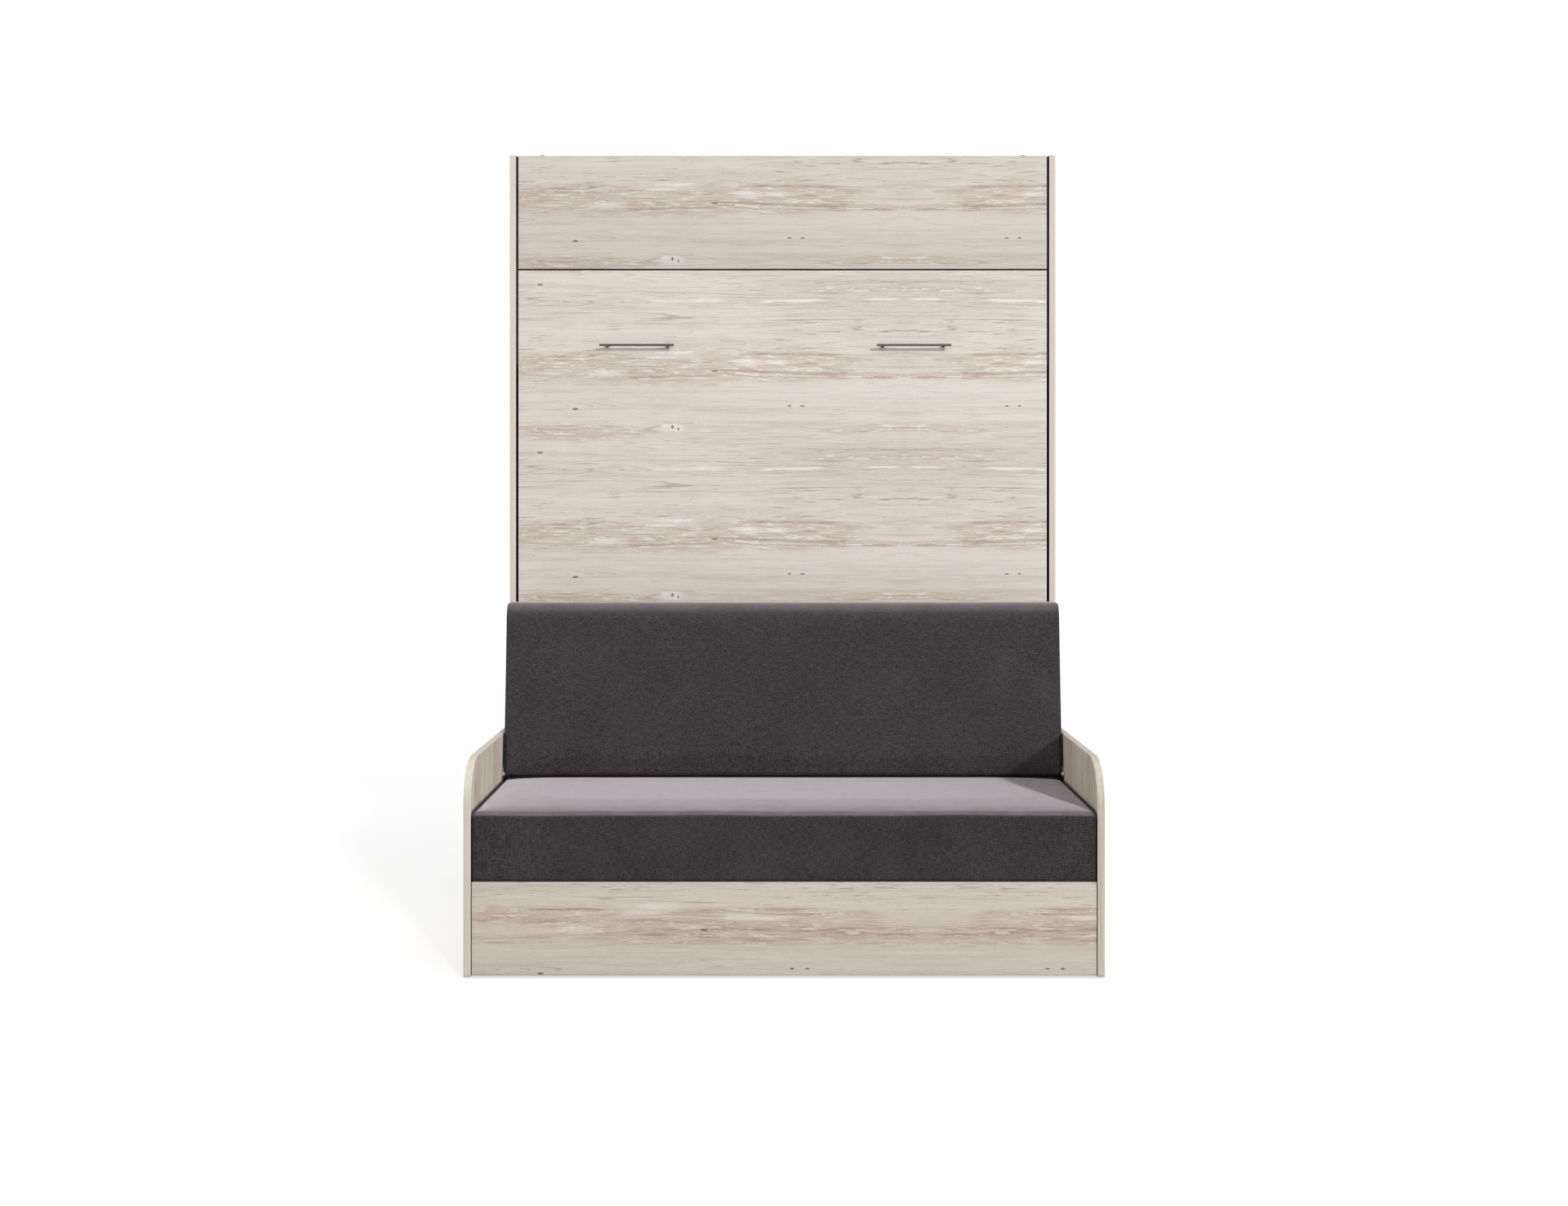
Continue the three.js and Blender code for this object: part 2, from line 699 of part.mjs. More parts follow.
// A slim bar on two round posts, one solid
function handle(centreX) {
  const barRearY = -handleStandOff;
  const outline = roundedOutline(barRearY - handleBarDepth, barRearY,
    handleZ - handleBarHeight / 2, handleZ + handleBarHeight / 2, handleBarCorner);
  const bar = alongX(outline, centreX - handleLength / 2, centreX + handleLength / 2);
  const posts = sides.map(([, side]) => {
    const postLength = handleStandOff + handleBarDepth / 2 - touchGap;
    const post = new THREE.CylinderGeometry(handlePostRadius, handlePostRadius, postLength,
      roundSteps / 2);
    post.translate(centreX + side * handlePostSpacing / 2, -touchGap - postLength / 2,
      handleZ);
    return post;
  });
  return joined(bar, ...posts);
}

// Plate on the bed rail that turns on the fixed pin, with a bush in it
function bedPivotPlate() {
  const frontY = railFrontY + bedPlateInset;
  const outline = roundedOutline(frontY, frontY + bedPlateDepth, pivotZ - bedPlateBelow,
    pivotZ + bedPlateAbove, plateCorner);
  holeIn(outline, pivotSetback, pivotZ, bushHoleRadius);
  const innerX = railOuterX + touchGap;
  return alongX(outline, innerX, innerX + bedPlateThickness);
}

function pivotBush() {
  const inner = pinRadius + pinHoleClearance;
  const innerX = railOuterX + touchGap;
  return turnedAlongX([[innerX, inner], [innerX, inner + bushWall],
    [innerX + bushLength, inner + bushWall], [innerX + bushLength, inner], [innerX, inner]],
    pivotSetback, pivotZ);
}

// Stud on the bed rail that takes the lower end of a strut
function rodStud() {
  const innerX = railOuterX + touchGap;
  const flangeX = innerX + studFlangeThickness;
  const tipX = strutX - strutEyeWidth / 2 - strutOpenPivotGap;
  return turnedAlongX([[innerX, 0], [innerX, studFlangeRadius], [flangeX, studFlangeRadius],
    [flangeX, strutFerruleRadius], [tipX, strutFerruleRadius], [tipX, 0]],
    pivotSetback, strutLowerZ);
}

// Pin on the bed rail that the leg bar turns on
function legPin() {
  const innerX = railOuterX + touchGap;
  const flangeX = innerX + legPinFlangeThickness;
  const shoulderX = legBarInnerX - touchGap;
  const tipX = halfInner - legBarClearance;
  return turnedAlongX([[innerX, 0], [innerX, legPinFlangeRadius], [flangeX, legPinFlangeRadius],
    [flangeX, pinRadius], [shoulderX, pinRadius], [shoulderX, legPinSpigotRadius],
    [tipX, legPinSpigotRadius], [tipX, 0]], legPivotSetback, legPivotZ);
}

function foldingBed() {
  bedFrame();
  add(bed, 'slat_roll', slatRoll(), plywood);
  add(bed, 'mattress', mattress(), ticking);
  add(bed, 'mattress_strap', mattressStrap(), webbing);
  add(bed, 'left_handle', handle(leftHandleX), steel);
  add(bed, 'right_handle', handle(rightHandleX), steel);
  for (const [label, side] of sides) {
    add(bed, `${label}_bed_pivot_plate`, sided(side, bedPivotPlate()), steel);
    add(bed, `${label}_pivot_bush`, sided(side, pivotBush()), blackPlastic);
    add(bed, `${label}_rod_stud`, sided(side, rodStud()), steel);
    add(bed, `${label}_leg_pin`, sided(side, legPin()), steel);
  }
}

// Leg: the upper band of the front on two flat bars, stiffened by a square tube
function legBarOutline() {
  const outline = new THREE.Shape();
  const radius = legBarWidth / 2;
  outline.moveTo(legPivotSetback + radius, bandTopZ);
  outline.lineTo(legPivotSetback - radius, bandTopZ);
  outline.absarc(legPivotSetback, legPivotZ, radius, Math.PI, 2 * Math.PI);
  holeIn(outline, legPivotSetback, legPivotZ, legPinSpigotRadius + pinHoleClearance);
  return outline;
}

function legTube() {
  const frontY = boardThickness + touchGap;
  const topZ = bandTopZ - legTubeDrop;
  const outline = roundedOutline(frontY, frontY + legTubeSize, topZ - legTubeSize, topZ,
    legTubeCorner);
  const inner = roundedOutline(frontY + legTubeWall, frontY + legTubeSize - legTubeWall,
    topZ - legTubeSize + legTubeWall, topZ - legTubeWall, legTubeCorner - legTubeWall);
  outline.holes.push(inner);
  const endX = legBarInnerX - touchGap;
  return alongX(outline, -endX, endX);
}

function foldingLeg() {
  add(leg, 'leg_front_band', block(-halfFront, halfFront, 0, boardThickness,
    bandLowZ, bandTopZ), laminate);
  add(leg, 'leg_cross_tube', legTube(), darkSteel);
  for (const [label, side] of sides) {
    add(leg, `${label}_leg_bar`, sided(side, alongX(legBarOutline(), legBarInnerX,
      legBarInnerX + legBarThickness)), darkSteel);
    add(leg, `${label}_leg_pad`, sided(side, disc(legPadRadius, halfFront - legPadInset,
      boardThickness / 2, cabinetHeight - legPadThickness, cabinetHeight)), blackPlastic);
  }
}

// Gas struts: drawn hanging from the upper stud, the group leans them to the lower stud
function strutEye(z, hole) {
  const halfWide = strutEyeWidth / 2;
  return turnedAlongX([[-halfWide, hole], [-halfWide, strutEyeRadius],
    [halfWide, strutEyeRadius], [halfWide, hole], [-halfWide, hole]], 0, z);
}

function strutCylinder() {
  const hole = strutStudRadius + strutRunningGap;
  const guide = strutRodRadius + strutRunningGap;
  const topZ = -strutTopSolid / 2;
  const boreTopZ = -strutTopSolid;
  const guideZ = strutGuideLength - strutTubeEnd;
  const tube = turnedAlongZ([[-strutTubeEnd, guide], [-strutTubeEnd, strutTubeRadius],
    [topZ, strutTubeRadius], [topZ, 0], [boreTopZ, 0], [boreTopZ, strutBoreRadius],
    [guideZ, strutBoreRadius], [guideZ, guide], [-strutTubeEnd, guide]]);
  const neck = turnedAlongZ([[topZ - touchGap, 0], [topZ - touchGap, strutEyeWidth / 2],
    [-hole, strutEyeWidth / 2], [-hole, 0]]);
  const bore = turnedAlongX([[-strutEyeRadius, 0], [-strutEyeRadius, hole],
    [strutEyeRadius, hole], [strutEyeRadius, 0]], 0, 0);
  return cut(joined(tube, strutEye(0, hole), neck), bore);
}

function strutRod() {
  const hole = strutStudRadius + strutRunningGap;
  const eyeZ = -strutLong;
  const pistonLowZ = strutGuideLength + strutPistonRest - strutTubeEnd;
  const pistonTopZ = pistonLowZ + strutPistonLength;
  const neckLowZ = eyeZ + hole;
  const ferruleLowZ = eyeZ + strutEyeRadius;
  const ferruleTopZ = eyeZ + strutEyeRadius + strutFerruleLength;
  const piston = strutBoreRadius - strutRunningGap;
  const shaft = turnedAlongZ([[neckLowZ, 0], [neckLowZ, strutEyeWidth / 2],
    [ferruleLowZ, strutEyeWidth / 2], [ferruleLowZ, strutFerruleRadius],
    [ferruleTopZ, strutFerruleRadius], [ferruleTopZ, strutRodRadius],
    [pistonLowZ, strutRodRadius], [pistonLowZ, piston], [pistonTopZ, piston],
    [pistonTopZ, 0]]);
  const bore = turnedAlongX([[-strutEyeRadius, 0], [-strutEyeRadius, hole],
    [strutEyeRadius, hole], [strutEyeRadius, 0]], 0, eyeZ);
  return cut(joined(shaft, strutEye(eyeZ, hole)), bore);
}

function gasStruts() {
  const group = new THREE.Group();
  for (const [label, side] of sides) {
    const strut = new THREE.Group();
    add(strut, `${label}_strut_cylinder`, strutCylinder(), darkSteel);
    add(strut, `${label}_strut_rod`, strutRod(), steel);
    strut.position.set(side * strutX, strutUpperY, strutUpperZ);
    strut.rotation.x = -strutAngle;
    group.add(strut);
  }
  return group;
}

cabinetShell();
cabinetFittings();
sofa();
foldingBack();
foldingBed();
foldingLeg();

// The whole, with its origin on the floor under the middle of its outline
const wallBed = new THREE.Group();
wallBed.add(base, bed, leg, sofaBack, gasStruts());
wallBed.position.y = (sofaProjection - cabinetDepth) / 2;

export default wallBed;
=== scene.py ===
"""A wall bed with a sofa in front of it: finishes, cushions, mattress and fittings.

Lengths are metres, +Z is up and the front faces -Y. Colours are given as on a screen, 0 to 255.
"""
import json
import math

import bpy
import numpy as np
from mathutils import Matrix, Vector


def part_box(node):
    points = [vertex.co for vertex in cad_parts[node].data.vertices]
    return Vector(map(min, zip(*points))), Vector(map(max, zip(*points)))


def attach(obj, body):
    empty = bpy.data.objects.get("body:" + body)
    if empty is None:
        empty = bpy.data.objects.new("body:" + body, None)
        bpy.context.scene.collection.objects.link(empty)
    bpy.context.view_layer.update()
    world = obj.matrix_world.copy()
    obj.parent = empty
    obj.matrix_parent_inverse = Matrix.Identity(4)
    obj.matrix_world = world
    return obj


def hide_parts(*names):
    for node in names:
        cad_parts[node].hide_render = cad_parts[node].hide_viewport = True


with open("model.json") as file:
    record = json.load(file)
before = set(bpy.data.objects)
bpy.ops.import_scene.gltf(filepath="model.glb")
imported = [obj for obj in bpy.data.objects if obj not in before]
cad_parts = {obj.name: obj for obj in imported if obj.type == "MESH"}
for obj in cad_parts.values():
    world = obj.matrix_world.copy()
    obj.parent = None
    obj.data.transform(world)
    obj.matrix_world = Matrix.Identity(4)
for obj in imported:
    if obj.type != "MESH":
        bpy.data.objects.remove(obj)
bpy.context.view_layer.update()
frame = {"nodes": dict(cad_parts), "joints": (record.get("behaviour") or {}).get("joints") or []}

bl_info = {
    "name": "Wall bed with sofa",
    "version": (1, 0, 0),
    "blender": (4, 5, 0),
    "location": "3D View > Sidebar > Wall bed",
    "description": "Dresses a wall bed with its boards' decor, cushions, mattress and fittings",
    "category": "Object",
}

PHOTO_SIZE = (2184, 1680)
FOCAL_PIXELS = 2309.5
PRINCIPAL_POINT = (1078.1, 704.1)
SENSOR_WIDTH = 36.0
CAMERA_PLACE = (-0.0248, -4.6725, 1.1652)
FLOOR_REACH = 40.0
# Where each light comes from, and over how many degrees it is spread
LIGHTS = {
    "Key": ((0.45, -1.0, 0.30), 4),
    "Left": ((-1.0, -0.75, 0.45), 60),
    "Right": ((1.0, -0.6, 0.5), 60),
    "Top": ((0.08, -0.22, 1.0), 50),
}
SIDES = {"left": -1, "right": 1}
ARM_CORNER_RADIUS = 0.11
# Play left at each end of a board that stands between two others
SIDE_PLAY = {"seat_apron": 0.0013, "bed_front_panel": 0.0012, "leg_front_band": 0.0012}
# Largest cell of a flat-faced block
BLOCK_CELL = 0.3
# How far up from its lower face a cushion is shaped so that this face lies flat
SOLE_HEIGHT = 0.06
# How far the cushions press past their solids at both ends, and the back below and above its own
SPREAD, BACK_SINK, BACK_RISE = 0.0035, 0.008, 0.001
# How far the sides of a cushion pull in between its corners
DRAW_IN = 0.0003
# Share of the full quarter circle that the top front edge of the back follows
TOP_EDGE_SHARE = 0.98
# Firmness of the cover's cloth while it is puffed
COVER_CLOTH = {"quality": 5, "mass": 0.4, "tension_stiffness": 15, "compression_stiffness": 15,
               "bending_stiffness": 2}
# Waves of the seat's worn front rim: how fast each turns along x, where it starts, its height
RIM_WAVES = [(9.0, 0.6, 1.0), (21.0, 2.1, 0.6)]
# |sin| at which the mattress, between two stitched lines, is back at its full height
STITCH_WIDTH = 0.75
# Half width, half height and corner radius of the mattress tape and of the slider's frame
TAPE_SECTION = (0.0032, 0.0042, 0.003)
SLIDER_SECTION = (0.0022, 0.0016, 0.0012)
# The body of each plate with screws, which way it faces, 1 outwards, and its screws' margin
SCREWED_PLATES = {"pivot_plate": ("base", -1, 0.014), "strut_bracket": ("base", -1, 0.012),
                  "bed_pivot_plate": ("bed", 1, 0.013)}
# A screw head's height and radius, in its own radii: a dome with a sunk hexagon
SCREW_PROFILE = [(0.0, 0.0), (0.0, 1.0), (0.22, 1.0), (0.42, 0.88), (0.54, 0.66), (0.58, 0.42),
                 (0.25, 0.38), (0.25, 0.0)]
# How much darker a narrow gap is than an open face
CREVICE_DEPTH = 0.9


def tone(red, green, blue):
    """The linear colour, with alpha, of a screen colour given in 0 to 255."""
    share = np.array([red, green, blue]) / 255
    linear = np.where(share <= 0.04045, share / 12.92, ((share + 0.055) / 1.055) ** 2.4)
    return (*linear.tolist(), 1.0)


WHITE = (1.0, 1.0, 1.0, 1.0)
# Lime in the print of the boards' narrow edges
EDGE_LIME = tone(222, 214, 202)


# Settings that a user would change
def length(name, description, default):
    return bpy.props.FloatProperty(
        name=name, description=description, default=default, min=0, unit="LENGTH", precision=4)


def amount(name, description, default, top=10.0):
    return bpy.props.FloatProperty(
        name=name, description=description, default=default, min=0, max=top)


def colour(name, description, red, green, blue):
    return bpy.props.FloatVectorProperty(
        name=name, description=description, subtype="COLOR", size=4, min=0, max=1,
        default=tone(red, green, blue))


class StageSettings(bpy.types.PropertyGroup):
    sky: amount("Sky", "Strength of the even light from all round", 0.4)
    key: amount("Key", "Strength of the soft light from the upper right front", 1.36)
    left: amount("Left light", "Strength of the broad light from the left", 0.45)
    right: amount("Right light", "Strength of the broad light from the right", 0.43)
    top: amount("Top light", "Strength of the broad light from above", 1.3)
    floor: colour("Floor", "Colour of the floor", 172, 172, 172)
    floor_lift: amount("Floor lift", "Brightness that the camera alone sees on the floor", 0.62, 1.0)


class BoardSettings(bpy.types.PropertyGroup):
    pale: colour("Pale", "Limewashed ground of the decor", 219, 214, 203)
    middle: colour("Middle", "Middle tone of the decor", 212, 205, 194)
    dusk: colour("Dusk", "Greyish pink of the slow streaks", 198, 187, 176)
    pink: colour("Pink", "Pinkish bands of the decor", 199, 181, 168)
    brown: colour("Brown", "Brown heart of those bands", 163, 141, 126)
    grain: colour("Grain", "Fine dark grain lines", 132, 112, 98)
    flake: colour("Flake", "Whitish flakes in the bands", 234, 231, 223)
    knot: colour("Knot", "Heart of a knot", 92, 74, 62)


class CushionSettings(bpy.types.PropertyGroup):
    dark: colour("Dark thread", "Darker thread of the upholstery", 20, 18, 19)
    light: colour("Light thread", "Lighter thread of the upholstery", 75, 70, 72)
    # Painted light: the paler colour that the cushions' upward faces are mixed towards, standing in
    # for light from above
    painted_top_light: colour("Bloom", "Lighter pile on what faces up", 128, 121, 125)
    pressure: amount("Pressure", "Pressure inside the cover while it is puffed", 4.0)
    cap: length("Cap", "How far a point of the cover may move", 0.002)
    edge: length("Edge", "Radius of the edges of the back", 0.012)
    crown: length("Crown", "How much the faces of the back bulge", 0.005)
    seat_crown: length("Seat crown", "How much the top of the seat bulges", 0.0065)
    sag: length("Sag", "How far the front rim of the seat sags where it sags most", 0.0038)
    seat_edge: length("Seat edge", "Radius of the edges of the seat", 0.016)
    top_edge: length("Top edge", "Radius of the softer top front edge of the back", 0.043)
    spacing: length("Spacing", "Size of the cover's mesh cells", 0.012)


class MattressSettings(bpy.types.PropertyGroup):
    cover: colour("Cover", "Colour of the quilted cover", 238, 236, 231)
    quilt: length("Quilt", "Size of a quilted diamond across the width", 0.14)
    depth: length("Quilt depth", "Depth of the stitched lines", 0.006)
    edge: length("Edge", "Radius of the mattress's edges", 0.03)
    crown: length("Crown", "How much its two faces bulge", 0.007)
    draw_in: length("Draw-in", "How far its sides pull in between the corners", 0.003)
    spacing: length("Spacing", "Size of the mesh cells", 0.01)


class FittingSettings(bpy.types.PropertyGroup):
    screw: length("Screw head", "Radius of a screw head", 0.00336)
    cover: length("Cover cap", "Radius of the caps over the boards' connectors", 0.0075)
    nail: length("Nail", "Radius of the nails round the back panel", 0.003)
    arris: length("Arris", "Rounding of the boards' edges", 0.0011)
    bar_deep: length("Bar depth", "Depth of a handle's bar, front to back", 0.009)
    bar_high: length("Bar height", "Height of a handle's bar", 0.0065)
    post: length("Post", "Radius of a handle's posts", 0.0032)
    post_foot: length("Post foot", "Radius of a post where it stands on the front", 0.0046)
    post_inset: length("Post inset", "From a handle's end to the middle of its post", 0.0195)
    turns: bpy.props.IntProperty(
        name="Turning steps", description="Sides of a turned piece", default=40, min=8)


# Meshes
def grid_quads(rows, columns, closed_rows=False, closed_columns=False):
    """Quads between neighbours of a grid of points that is numbered row by row."""
    row = np.arange(rows if closed_rows else rows - 1)
    column = np.arange(columns if closed_columns else columns - 1)
    row, column = np.meshgrid(row, column, indexing="ij")
    next_row, next_column = (row + 1) % rows, (column + 1) % columns
    corners = [(row, column), (row, next_column), (next_row, next_column), (next_row, column)]
    return np.stack([r * columns + c for r, c in corners], -1).reshape(-1, 4)


def welded(points, quads):
    """Merges points that lie on each other. A quad that loses a corner becomes a triangle."""
    kept, number = np.unique(points.round(7), axis=0, return_inverse=True)
    quads = number.reshape(-1)[quads]
    same = quads == np.roll(quads, -1, axis=1)
    whole = quads[~same.any(1)]
    short, where = quads[same.sum(1) == 1], same[same.sum(1) == 1].argmax(1)
    order = (where[:, None] + np.array([1, 2, 3])) % 4
    return kept, [whole, np.take_along_axis(short, order, 1)]


def mesh_object(name, points, faces, material, smooth=True):
    """A mesh piece from points (n, 3) and a list of face arrays, each with one count of corners."""
    faces = [group for group in faces if len(group)]
    corners = np.concatenate([group.ravel() for group in faces])
    counts = np.concatenate([np.full(len(group), group.shape[1]) for group in faces])
    mesh = bpy.data.meshes.new(name)
    mesh.vertices.add(len(points))
    mesh.vertices.foreach_set("co", points.astype(np.float32).ravel())
    mesh.loops.add(len(corners))
    mesh.loops.foreach_set("vertex_index", corners.astype(np.int32))
    mesh.polygons.add(len(counts))
    mesh.polygons.foreach_set("loop_start", (np.cumsum(counts) - counts).astype(np.int32))
    mesh.polygons.foreach_set("use_smooth", np.full(len(counts), smooth))
    mesh.update(calc_edges=True)
    mesh.validate()
    mesh.materials.append(material)
    piece = bpy.data.objects.new(name, mesh)
    bpy.context.scene.collection.objects.link(piece)
    return piece


def merged(parts):
    """One set of points and face arrays from several pairs of points and face lists."""
    points, faces, first = [], [], 0
    for part_points, part_faces in parts:
        points.append(part_points)
        faces += [group + first for group in part_faces]
        first += len(part_points)
    return np.concatenate(points), faces


def turned(profile, centre, axis, steps):
    """Turns pairs of place and radius about an axis, from one closed end to the other.

    A point is centre + place * axis + radius * (cos t * u + sin t * v), with u, v square to axis.
    """
    axis = np.array(axis, float)
    u = np.roll(axis, 1)
    v = np.cross(axis, u)
    angle = np.arange(steps) * 2 * math.pi / steps
    place, radius = np.array(profile, float).T
    round_ = np.cos(angle)[:, None] * u + np.sin(angle)[:, None] * v
    points = (np.array(centre, float) + place[:, None, None] * axis
              + radius[:, None, None] * round_)
    quads = grid_quads(len(profile), steps, closed_columns=True)
    return welded(points.reshape(-1, 3), quads[:, ::-1])


def swept(path, section, normal, closed=False):
    """Carries a closed section along a path that lies in the plane square to normal.

    A point is path + a * side + b * normal, with side square to the path and to normal.
    """
    path, section = np.array(path, float), np.array(section, float)
    normal = np.array(normal, float)
    if closed:
        ahead = np.roll(path, -1, 0) - np.roll(path, 1, 0)
    else:
        ahead = np.gradient(path, axis=0)
    side = np.cross(ahead, normal)
    side /= np.linalg.norm(side, axis=1)[:, None]
    points = (path[:, None] + section[None, :, :1] * side[:, None]
              + section[None, :, 1:] * normal)
    quads = grid_quads(len(path), len(section), closed, True)
    if closed:
        return points.reshape(-1, 3), [quads]
    count = len(section)
    last = (len(path) - 1) * count
    ring = np.arange(count)
    ends = [ring[None, ::-1], last + ring[None]]
    return points.reshape(-1, 3), [quads, *ends]


def rounded_section(half_wide, half_high, radius, steps=6):
    """Points round a rectangle with round corners, each a quarter circle."""
    quarter = np.linspace(0, math.pi / 2, steps)
    angle = np.concatenate([quarter + turn * math.pi / 2 for turn in range(4)])
    corner = np.repeat([[1, 1], [-1, 1], [-1, -1], [1, -1]], steps, axis=0)
    inner = np.array([half_wide - radius, half_high - radius])
    return corner * inner + radius * np.stack([np.cos(angle), np.sin(angle)], 1)


def block_lattice(steps):
    """Whole-number points on the surface of a block of cells, and its outward quads."""
    points, quads, first = [], [], 0
    for axis in range(3):
        across, along = [other for other in range(3) if other != axis]
        for end in (0, 1):
            size = (steps[across] + 1, steps[along] + 1)
            grid = np.zeros(size + (3,), int)
            grid[..., axis] = end * steps[axis]
            grid[..., across] = np.arange(size[0])[:, None]
            grid[..., along] = np.arange(size[1])[None, :]
            side = grid_quads(*size) + first
            quads.append(side if (end == 1) == (axis == 1) else side[:, ::-1])
            points.append(grid.reshape(-1, 3))
            first += size[0] * size[1]
    kept, number = np.unique(np.concatenate(points), axis=0, return_inverse=True)
    return kept, number.reshape(-1)[np.concatenate(quads)]


def edge_stops(half, radius, steps, edge_steps):
    """Places along a side: tan-spaced in the rounded edges, even between them."""
    number = np.arange(steps + 1)
    from_end = np.minimum(number, steps - number)
    bend = radius * np.tan(math.pi / 4 * (1 - np.minimum(from_end / edge_steps, 1)))
    even = (half - radius) * (1 - 2 * (from_end - edge_steps) / (steps - 2 * edge_steps))
    place = np.where(from_end < edge_steps, half - radius + bend, even)
    return np.where(number <= steps / 2, -place, place)


def padded_form(size, radius, crown_axis, crown, draw_in, spacing, power=(2, 2, 2),
                low_norm=2.0, edge_steps=3):
    """A cushion: a block with round edges, domed faces across crown_axis and drawn-in sides.

    Each point is its place in the inner block plus radius times its offset, made one long. The
    dome adds crown * (1 - |a|^p) (1 - |b|^q), with p and q from power, and the sides lose
    draw_in * (1 - a^2). Offsets are measured with low_norm, which makes edges squarer where it
    is over 2, and with a norm that goes down to 2 where they point up.
    """
    half = np.array(size) / 2
    half[crown_axis] -= crown
    steps = [int(round(2 * h / spacing)) for h in half]
    steps = [max(count, 2 * edge_steps + 2) for count in steps]
    lattice, quads = block_lattice(steps)
    raw = np.stack([edge_stops(half[axis], radius, steps[axis], edge_steps)[lattice[:, axis]]
                    for axis in range(3)], 1)
    core = np.clip(raw, radius - half, half - radius)
    offset = raw - core
    upward = np.clip(offset[:, 2:] / radius, 0, 1)
    norm = low_norm + (2.0 - low_norm) * upward
    long = (np.abs(offset) ** norm).sum(1, keepdims=True) ** (1 / norm)
    point = core + radius * offset / long
    share = point / half
    dome = np.clip(1 - np.abs(share) ** np.array(power), 0, None)
    others = [axis for axis in range(3) if axis != crown_axis]
    moved = point.copy()
    moved[:, crown_axis] += crown * share[:, crown_axis] * dome[:, others[0]] * dome[:, others[1]]
    for axis, along in (others, others[::-1]):
        moved[:, axis] -= draw_in * share[:, axis] * np.clip(1 - share[:, along] ** 2, 0, None)
    return moved, quads


def plate(outline, low, high, bevel):
    """A flat plate: an outline in y and z carried along x, with 45 degree bevels.

    The outline runs anticlockwise. Each ring is outline - inset * n, with n the outward normal.
    """
    outline = np.array(outline, float)
    ahead = np.roll(outline, -1, 0) - outline
    ahead /= np.linalg.norm(ahead, axis=1)[:, None]
    square = np.stack([ahead[:, 1], -ahead[:, 0]], 1)
    corner = square + np.roll(square, 1, 0)
    corner /= (1 + (square * np.roll(square, 1, 0)).sum(1))[:, None]
    rings = []
    for x, inset in ((low, bevel), (low + bevel, 0), (high - bevel, 0), (high, bevel)):
        ring = outline - inset * corner
        rings.append(np.column_stack([np.full(len(ring), x), ring]))
    count = len(outline)
    quads = grid_quads(4, count, closed_columns=True)
    ring = np.arange(count)
    return np.concatenate(rings), [quads[:, ::-1], ring[None, ::-1], 3 * count + ring[None]]


def vertex_values(mesh, name="co"):
    """The places of a mesh's vertices, or their normals where name is "normal", one row each."""
    values = np.empty(len(mesh.vertices) * 3, np.float32)
    mesh.vertices.foreach_get(name, values)
    return values.reshape(-1, 3)


def set_places(mesh, places):
    mesh.vertices.foreach_set("co", places.astype(np.float32).ravel())
    mesh.update()


def block(centre, size, radius, edge_steps=3):
    """A flat-faced block with round edges, as points and faces."""
    points, quads = padded_form(size, radius, 1, 0.0, 0.0, BLOCK_CELL, edge_steps=edge_steps)
    return points + centre, [quads]


def puff(piece, pressure, cap, frames=20):
    """Blows the cover up by cloth simulation and lets no point move further than cap.

    A step of length s becomes cap * tanh(s / cap). Inwards the cap is a third of that, so that
    the edges stay full.
    """
    scene = bpy.context.scene
    cloth = piece.modifiers.new("Cover", "CLOTH")
    for name, value in COVER_CLOTH.items():
        setattr(cloth.settings, name, value)
    cloth.settings.use_pressure = True
    cloth.settings.uniform_pressure_force = pressure
    cloth.settings.effector_weights.gravity = 0
    cloth.collision_settings.use_collision = False
    cloth.point_cache.frame_start = 1
    cloth.point_cache.frame_end = frames
    for number in range(1, frames + 1):
        scene.frame_set(number)
    start, normal = vertex_values(piece.data), vertex_values(piece.data, "normal")
    shown = piece.evaluated_get(bpy.context.evaluated_depsgraph_get())
    step = vertex_values(shown.data) - start
    piece.modifiers.remove(cloth)
    scene.frame_set(1)
    far = np.linalg.norm(step, axis=1, keepdims=True)
    inward = (step * normal).sum(1, keepdims=True) < 0
    room = np.where(inward, cap / 3, cap)
    eased = room * np.tanh(far / room)
    set_places(piece.data, start + step * eased / np.maximum(far, 1e-9))


